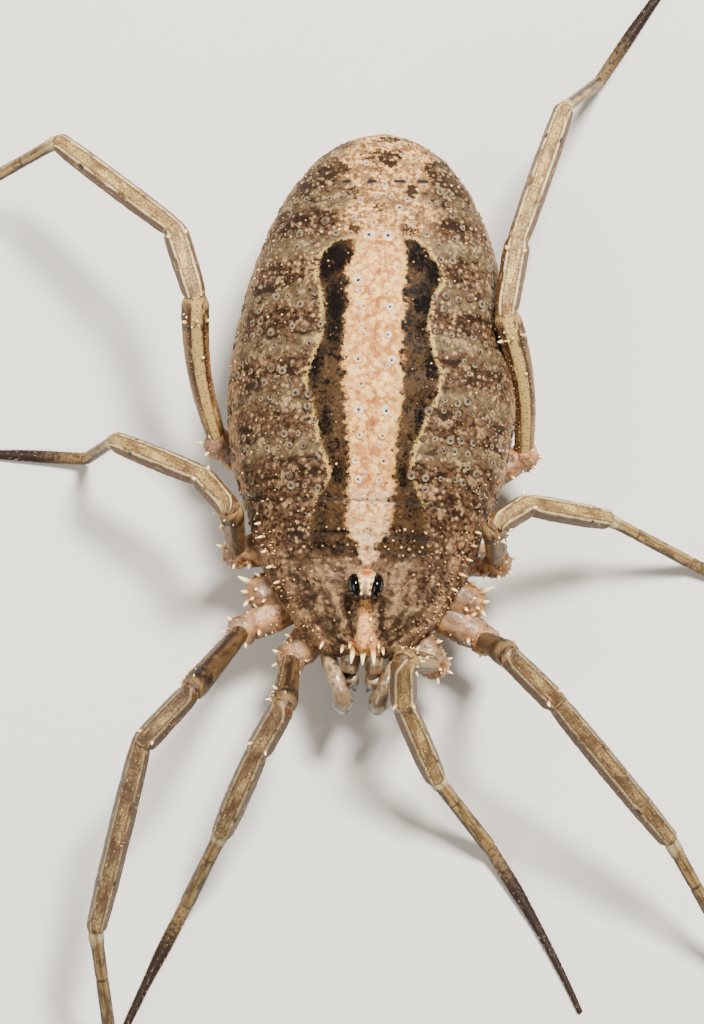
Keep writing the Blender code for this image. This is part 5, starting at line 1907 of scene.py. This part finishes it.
    def tarsus(self) -> tuple[list[Vector], Array, Array]:
        """Path, radii and ring values of the tarsus."""
        sizes = PAIRS[self.pair]
        stance = STANCES[(self.pair, self.side)]
        length = sizes.lengths[4]
        radius = sizes.radii[4]
        rings = max(14, round(length / 0.125))
        steps = rings * 6
        place = self.joints()[4].copy()
        ankle = place.z
        points = []
        radii = []
        ring = []
        for k in range(steps + 1):
            share = k / steps
            size = radius * (1.0 - (1.0 - self.tip_share) * share)
            size *= 1.0 + 0.22 * math.exp(-((share - 0.25) / 0.16) ** 2)
            fall = max(0.0, 1.0 - share / self.landing) ** 2
            rest = size * self.press
            points.append(Vector((place.x, place.y, rest + (ankle - rest) * fall)))
            phase = (share * rings) % 1.0
            swell = 0.96 + 0.05 * math.sin(math.pi * phase)
            radii.append(size * swell * (0.45 if k in (0, steps) else 1.0))
            ring.append(max(0.0, 1.0 - abs(phase - 0.02) / 0.25) if share > 0.12 else 0.0)
            place = place + direction(stance.azimuth[4] + stance.turn * share, 0.0) * (length / steps)
        return points, np.array(radii), np.array(ring)

    def build_foot(self) -> Piece:
        """The ringed tarsus."""
        points, radii, ring = self.tarsus()
        count = len(points)
        share = np.linspace(0.0, 1.0, count)
        course = Course(np.array([p[:] for p in points]), np.tile((0.0, 0.0, 1.0), (count, 1)), radii,
            np.zeros(count), dict(share=share, ring=ring, along=share * PAIRS[self.pair].lengths[4]))
        shape = Shape()
        course.sweep(shape, 18)
        for block in shape.points:
            block[:, 2] = np.maximum(block[:, 2], 0.0)
        return shape.finish(self.label + "_foot", ("round", "along"))


@dataclass
class Mouth:
    """Chelicerae and pedipalps."""

    chelicera_base: tuple = ((0.20, -1.50, 1.95), (0.205, -1.78, 1.93), (0.21, -2.04, 1.82))
    chelicera_hand: tuple = ((0.21, -2.06, 1.74), (0.20, -2.10, 1.40), (0.15, -2.04, 1.02))
    fingers: tuple = (((0.16, -2.1, 1.08), (0.1, -2.16, 0.76)), ((0.13, -1.97, 1.08), (0.11, -2.03,
        0.74)))
    chelicera_radius: float = 0.17
    palp: tuple = ((0.66, -1.45, 1.62), (0.62, -1.64, 1.7), (0.56, -1.88, 1.76), (0.44, -2.17, 1.83),
        (0.39, -2.31, 1.84), (0.33, -2.49, 1.74), (0.32, -2.54, 1.5), (0.32, -2.52, 1.3), (0.31, -2.44,
        1.0), (0.28, -2.34, 0.78))
    palp_shares: tuple = (0.95, 1.05, 1.15, 1.22, 1.05, 1.5, 1.45, 1.05, 0.72, 0.4)
    palp_glass: tuple = (0, 0, 0, 0, 0.2, 1, 1, 0.3, 0, 0)
    palp_radius: float = 0.125

    def tube(self, shape: Shape, leg: Leg, points: Sequence[Sequence[float]],
             radii: Sequence[float], upper: tuple, tip: Sequence[float],
             glass: Optional[Sequence[float]] = None) -> None:
        """Join a smooth tube through a few points to a shape.

        Args:
            shape: what the tube joins.
            leg: gives the side of the body.
            points: the few points, for the left side.
            radii: radius at each of them.
            upper: its upper side.
            tip: how black it is at each point.
            glass: how clear it is at each point.
        """
        count = 26 + 10 * len(points)
        glass = glass or [0.0] * len(points)
        path = np.array([leg.mirrored(p)[:] for p in points])
        rows = np.column_stack((path, radii, tip, glass))
        s = np.linspace(0.0, len(points) - 1.0, count)
        columns = [smooth_column(rows, column, s) for column in range(6)]
        ends = np.sqrt(np.clip(1.0 - np.abs(np.linspace(-1, 1, count)) ** 14, 0.02, 1.0))
        values = dict(tip=limit(columns[4]), glass=limit(columns[5]), along=s)
        course = Course(np.stack(columns[:3], axis=1), np.tile(upper, (count, 1)), columns[3] * ends,
            np.zeros(count), values)
        course.sweep(shape, 32, 0.0, 0.05, 6.0)

    def build(self, side: Side) -> dict[tuple, Piece]:
        """Make one side's chelicera and pedipalp."""
        leg = Leg(1, side)
        up = (0.0, 0.0, 1.0)
        ahead = (0.0, -1.0, 0.2)
        made = {}
        shape = Shape()
        size = self.chelicera_radius
        self.tube(shape, leg, self.chelicera_base, [size * k for k in (0.9, 1.0, 0.85)], up, (0, 0, 0))
        self.tube(shape, leg, self.chelicera_hand, [size * k for k in (0.9, 0.9, 0.5)], ahead, (0, 0, 0.1))
        for start, end in self.fingers:
            middle = tuple((a + b) / 2 for a, b in zip(start, end))
            self.tube(shape, leg, (start, middle, end), [size * k for k in (0.3, 0.24, 0.08)], ahead,
                (0.6, 1.0, 1.0))
        name = "chelicera_" + side.word
        made[(name,)] = shape.finish(name + "_skin", ("round", "along"))
        shape = Shape()
        radii = [self.palp_radius * k for k in self.palp_shares]
        self.tube(shape, leg, self.palp, radii, (0.3, -0.4, 1.0), [0.0] * len(self.palp), self.palp_glass)
        name = "pedipalp_" + side.word
        made[(name + "_upper", name + "_lower")] = shape.finish(name + "_skin", ("round", "along"))
        return made


@dataclass
class Studio:
    """Camera, lights and floor."""

    floor_half: float = 0.4
    key_energy: float = 0.64
    fill_energy: float = 0.14

    def build(self) -> None:
        """Set the camera, the lights and the floor."""
        right, upward, toward = PHOTO.axes()
        target = Vector(ANATOMY.metres(np.array(PHOTO.centre())))
        data = bpy.data.cameras.new("photo_camera")
        data.sensor_width = 36.0
        data.lens = 36.0 * PHOTO.distance / (PHOTO.height / PHOTO.pixels_per_mm)
        data.clip_start = 0.001
        data.clip_end = 10.0
        camera = put_in_scene("photo_camera", data)
        rotation = Matrix((right, upward, toward)).transposed().to_4x4()
        camera.matrix_world = Matrix.Translation(target + toward * PHOTO.distance * MM) @ rotation
        bpy.context.scene.camera = camera
        mesh = bpy.data.meshes.new("floor")
        half = self.floor_half
        mesh.from_pydata([(-half, -half, 0), (half, -half, 0), (half, half, 0), (-half, half, 0)], [],
            [(0, 1, 2, 3)])
        floor = put_in_scene("floor", mesh)
        mesh.materials.append(FloorFinish().build())
        self.light("key", target + Vector((0.028, 0.045, 0.12)), target, 0.03, self.key_energy)
        self.light("fill", target + Vector((-0.09, -0.05, 0.09)), target, 0.10, self.fill_energy)
        world = bpy.data.worlds.new("studio")
        world.use_nodes = True
        world.node_tree.nodes["Background"].inputs[0].default_value = (1.0, 0.98, 0.95, 1.0)
        world.node_tree.nodes["Background"].inputs[1].default_value = 0.36
        bpy.context.scene.world = world

    def light(self, name: str, place: Vector, target: Vector, size: float, energy: float) -> None:
        """Add one soft square light that looks at the animal."""
        data = bpy.data.lights.new(name, "AREA")
        data.size = size
        data.energy = energy
        lamp = put_in_scene(name, data)
        lamp.location = place
        lamp.rotation_euler = (target - place).to_track_quat("-Z", "Y").to_euler()


@dataclass
class Harvestman:
    """The whole animal: builds its pieces, dresses them and joins them to the frame."""

    seed: int = 11
    scatter: Scatter = field(default_factory=Scatter)

    def settle(self, piece: Piece, material: Optional[Material], slot: str,
               nodes: Sequence[str] = ()) -> None:
        """Dress a piece and join it to the frame."""
        if material is not None:
            piece.data.materials.clear()
            piece.data.materials.append(material)
        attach(piece, "root")
        if nodes:
            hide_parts(*nodes)
        LOG.info("%s: %d faces", piece.name, len(piece.data.polygons))

    def build(self) -> None:
        """Build every piece in turn."""
        rng = random.Random(self.seed)
        trunk = Trunk()
        self.settle(trunk.build(), TrunkFinish().build(), "body_skin", ("prosoma", "opisthosoma"))
        mound = EyeMound()
        eye = EyeFinish().build()
        mound_skin = MoundFinish().build()
        for node, piece in mound.build().items():
            skin = mound_skin if node == "ocularium" else eye
            self.settle(piece, skin, "eye_mound" if node == "ocularium" else "eye_gloss", (node,))
        mouth_skin = MouthFinish().build()
        for side in Side:
            for nodes, piece in Mouth().build(side).items():
                self.settle(piece, mouth_skin, "mouthparts", nodes)
        leg_skin = LegFinish().build()
        hip_skin = HipFinish().build()
        foot_skin = FootFinish().build()
        legs = [Leg(pair, side) for pair in PAIRS for side in Side]
        courses = []
        for leg in legs:
            nodes = tuple("%s_%s" % (leg.label, length.word) for length in Length)
            course = leg.shank_course()
            courses.append((leg, course))
            self.settle(leg.build_hip(), hip_skin, "coxae", (leg.label + "_coxa",))
            self.settle(leg.build_shank(course), leg_skin, "leg_skin", nodes)
            self.settle(leg.build_foot(), foot_skin, "tarsi", (leg.label + "_tarsus",))
        self.build_repeats(trunk, mound, courses, rng)

    def build_repeats(self, trunk: Trunk, mound: EyeMound, courses: Sequence[tuple],
                      rng: random.Random) -> None:
        """Spines, granules, rings and bristles, set by the scatter.

        Args:
            trunk: gives the places on the back.
            mound: gives the places on the eye mound.
            courses: every leg with its sections.
            rng: the seeded draw.
        """
        horn = SpineFinish("spine_horn", tone(180, 142, 112), tone(242, 228, 196), tone(156, 120, 86),
            0.15, 0.65, 0.22).build()
        grain = SpineFinish("granule_horn", tone(190, 158, 126), tone(216, 192, 160), tone(112, 84, 58),
            0.0, 0.6, 0.25).build()
        bristle = SpineFinish("bristle_horn", tone(206, 186, 156), tone(240, 230, 212), tone(60, 42, 30),
            0.0, 0.5, 0.4).build()
        shapes = {kind: kind.make(sides) for kind, sides in ((Template.SPINE, 10), (Template.GRANULE, 8),
            (Template.RING, 14), (Template.HAIR, 4))}
        teeth = [seat for leg, course in courses for seat in leg.teeth(course, rng)]
        grains = [seat for leg, course in courses for seat in leg.grains(course, rng)]
        hairs = [seat for leg, course in courses for seat in leg.hairs(course, rng)]
        plan = (("front_spines", Spines().seats(trunk) + mound.denticles(), Template.SPINE, horn,
            "body_skin", 0.05), ("back_rings", trunk.ring_seats(rng), Template.RING, RingFinish().build(),
            "body_skin", 0.0), ("back_granules", trunk.granule_seats(rng), Template.GRANULE, grain,
            "body_skin", 0.15), ("hip_teeth", teeth, Template.SPINE, horn, "coxae", 0.1), ("leg_grains",
            grains, Template.GRANULE, grain, "leg_skin", 0.2), ("leg_bristles", hairs, Template.HAIR,
            bristle, "leg_skin", 0.2))
        for number, (name, seats, kind, finish, slot, spread) in enumerate(plan):
            piece = self.scatter.run(name, seats, shapes[kind], finish, spread, 5 + number)
            self.settle(piece, None, slot)
        for shape in shapes.values():
            bpy.data.objects.remove(shape)


def main() -> None:
    """Build the studio and the animal."""
    logging.basicConfig(level=logging.INFO, format="%(name)s %(message)s")
    Studio().build()
    Harvestman().build()


if __name__ == "__main__":
    main()
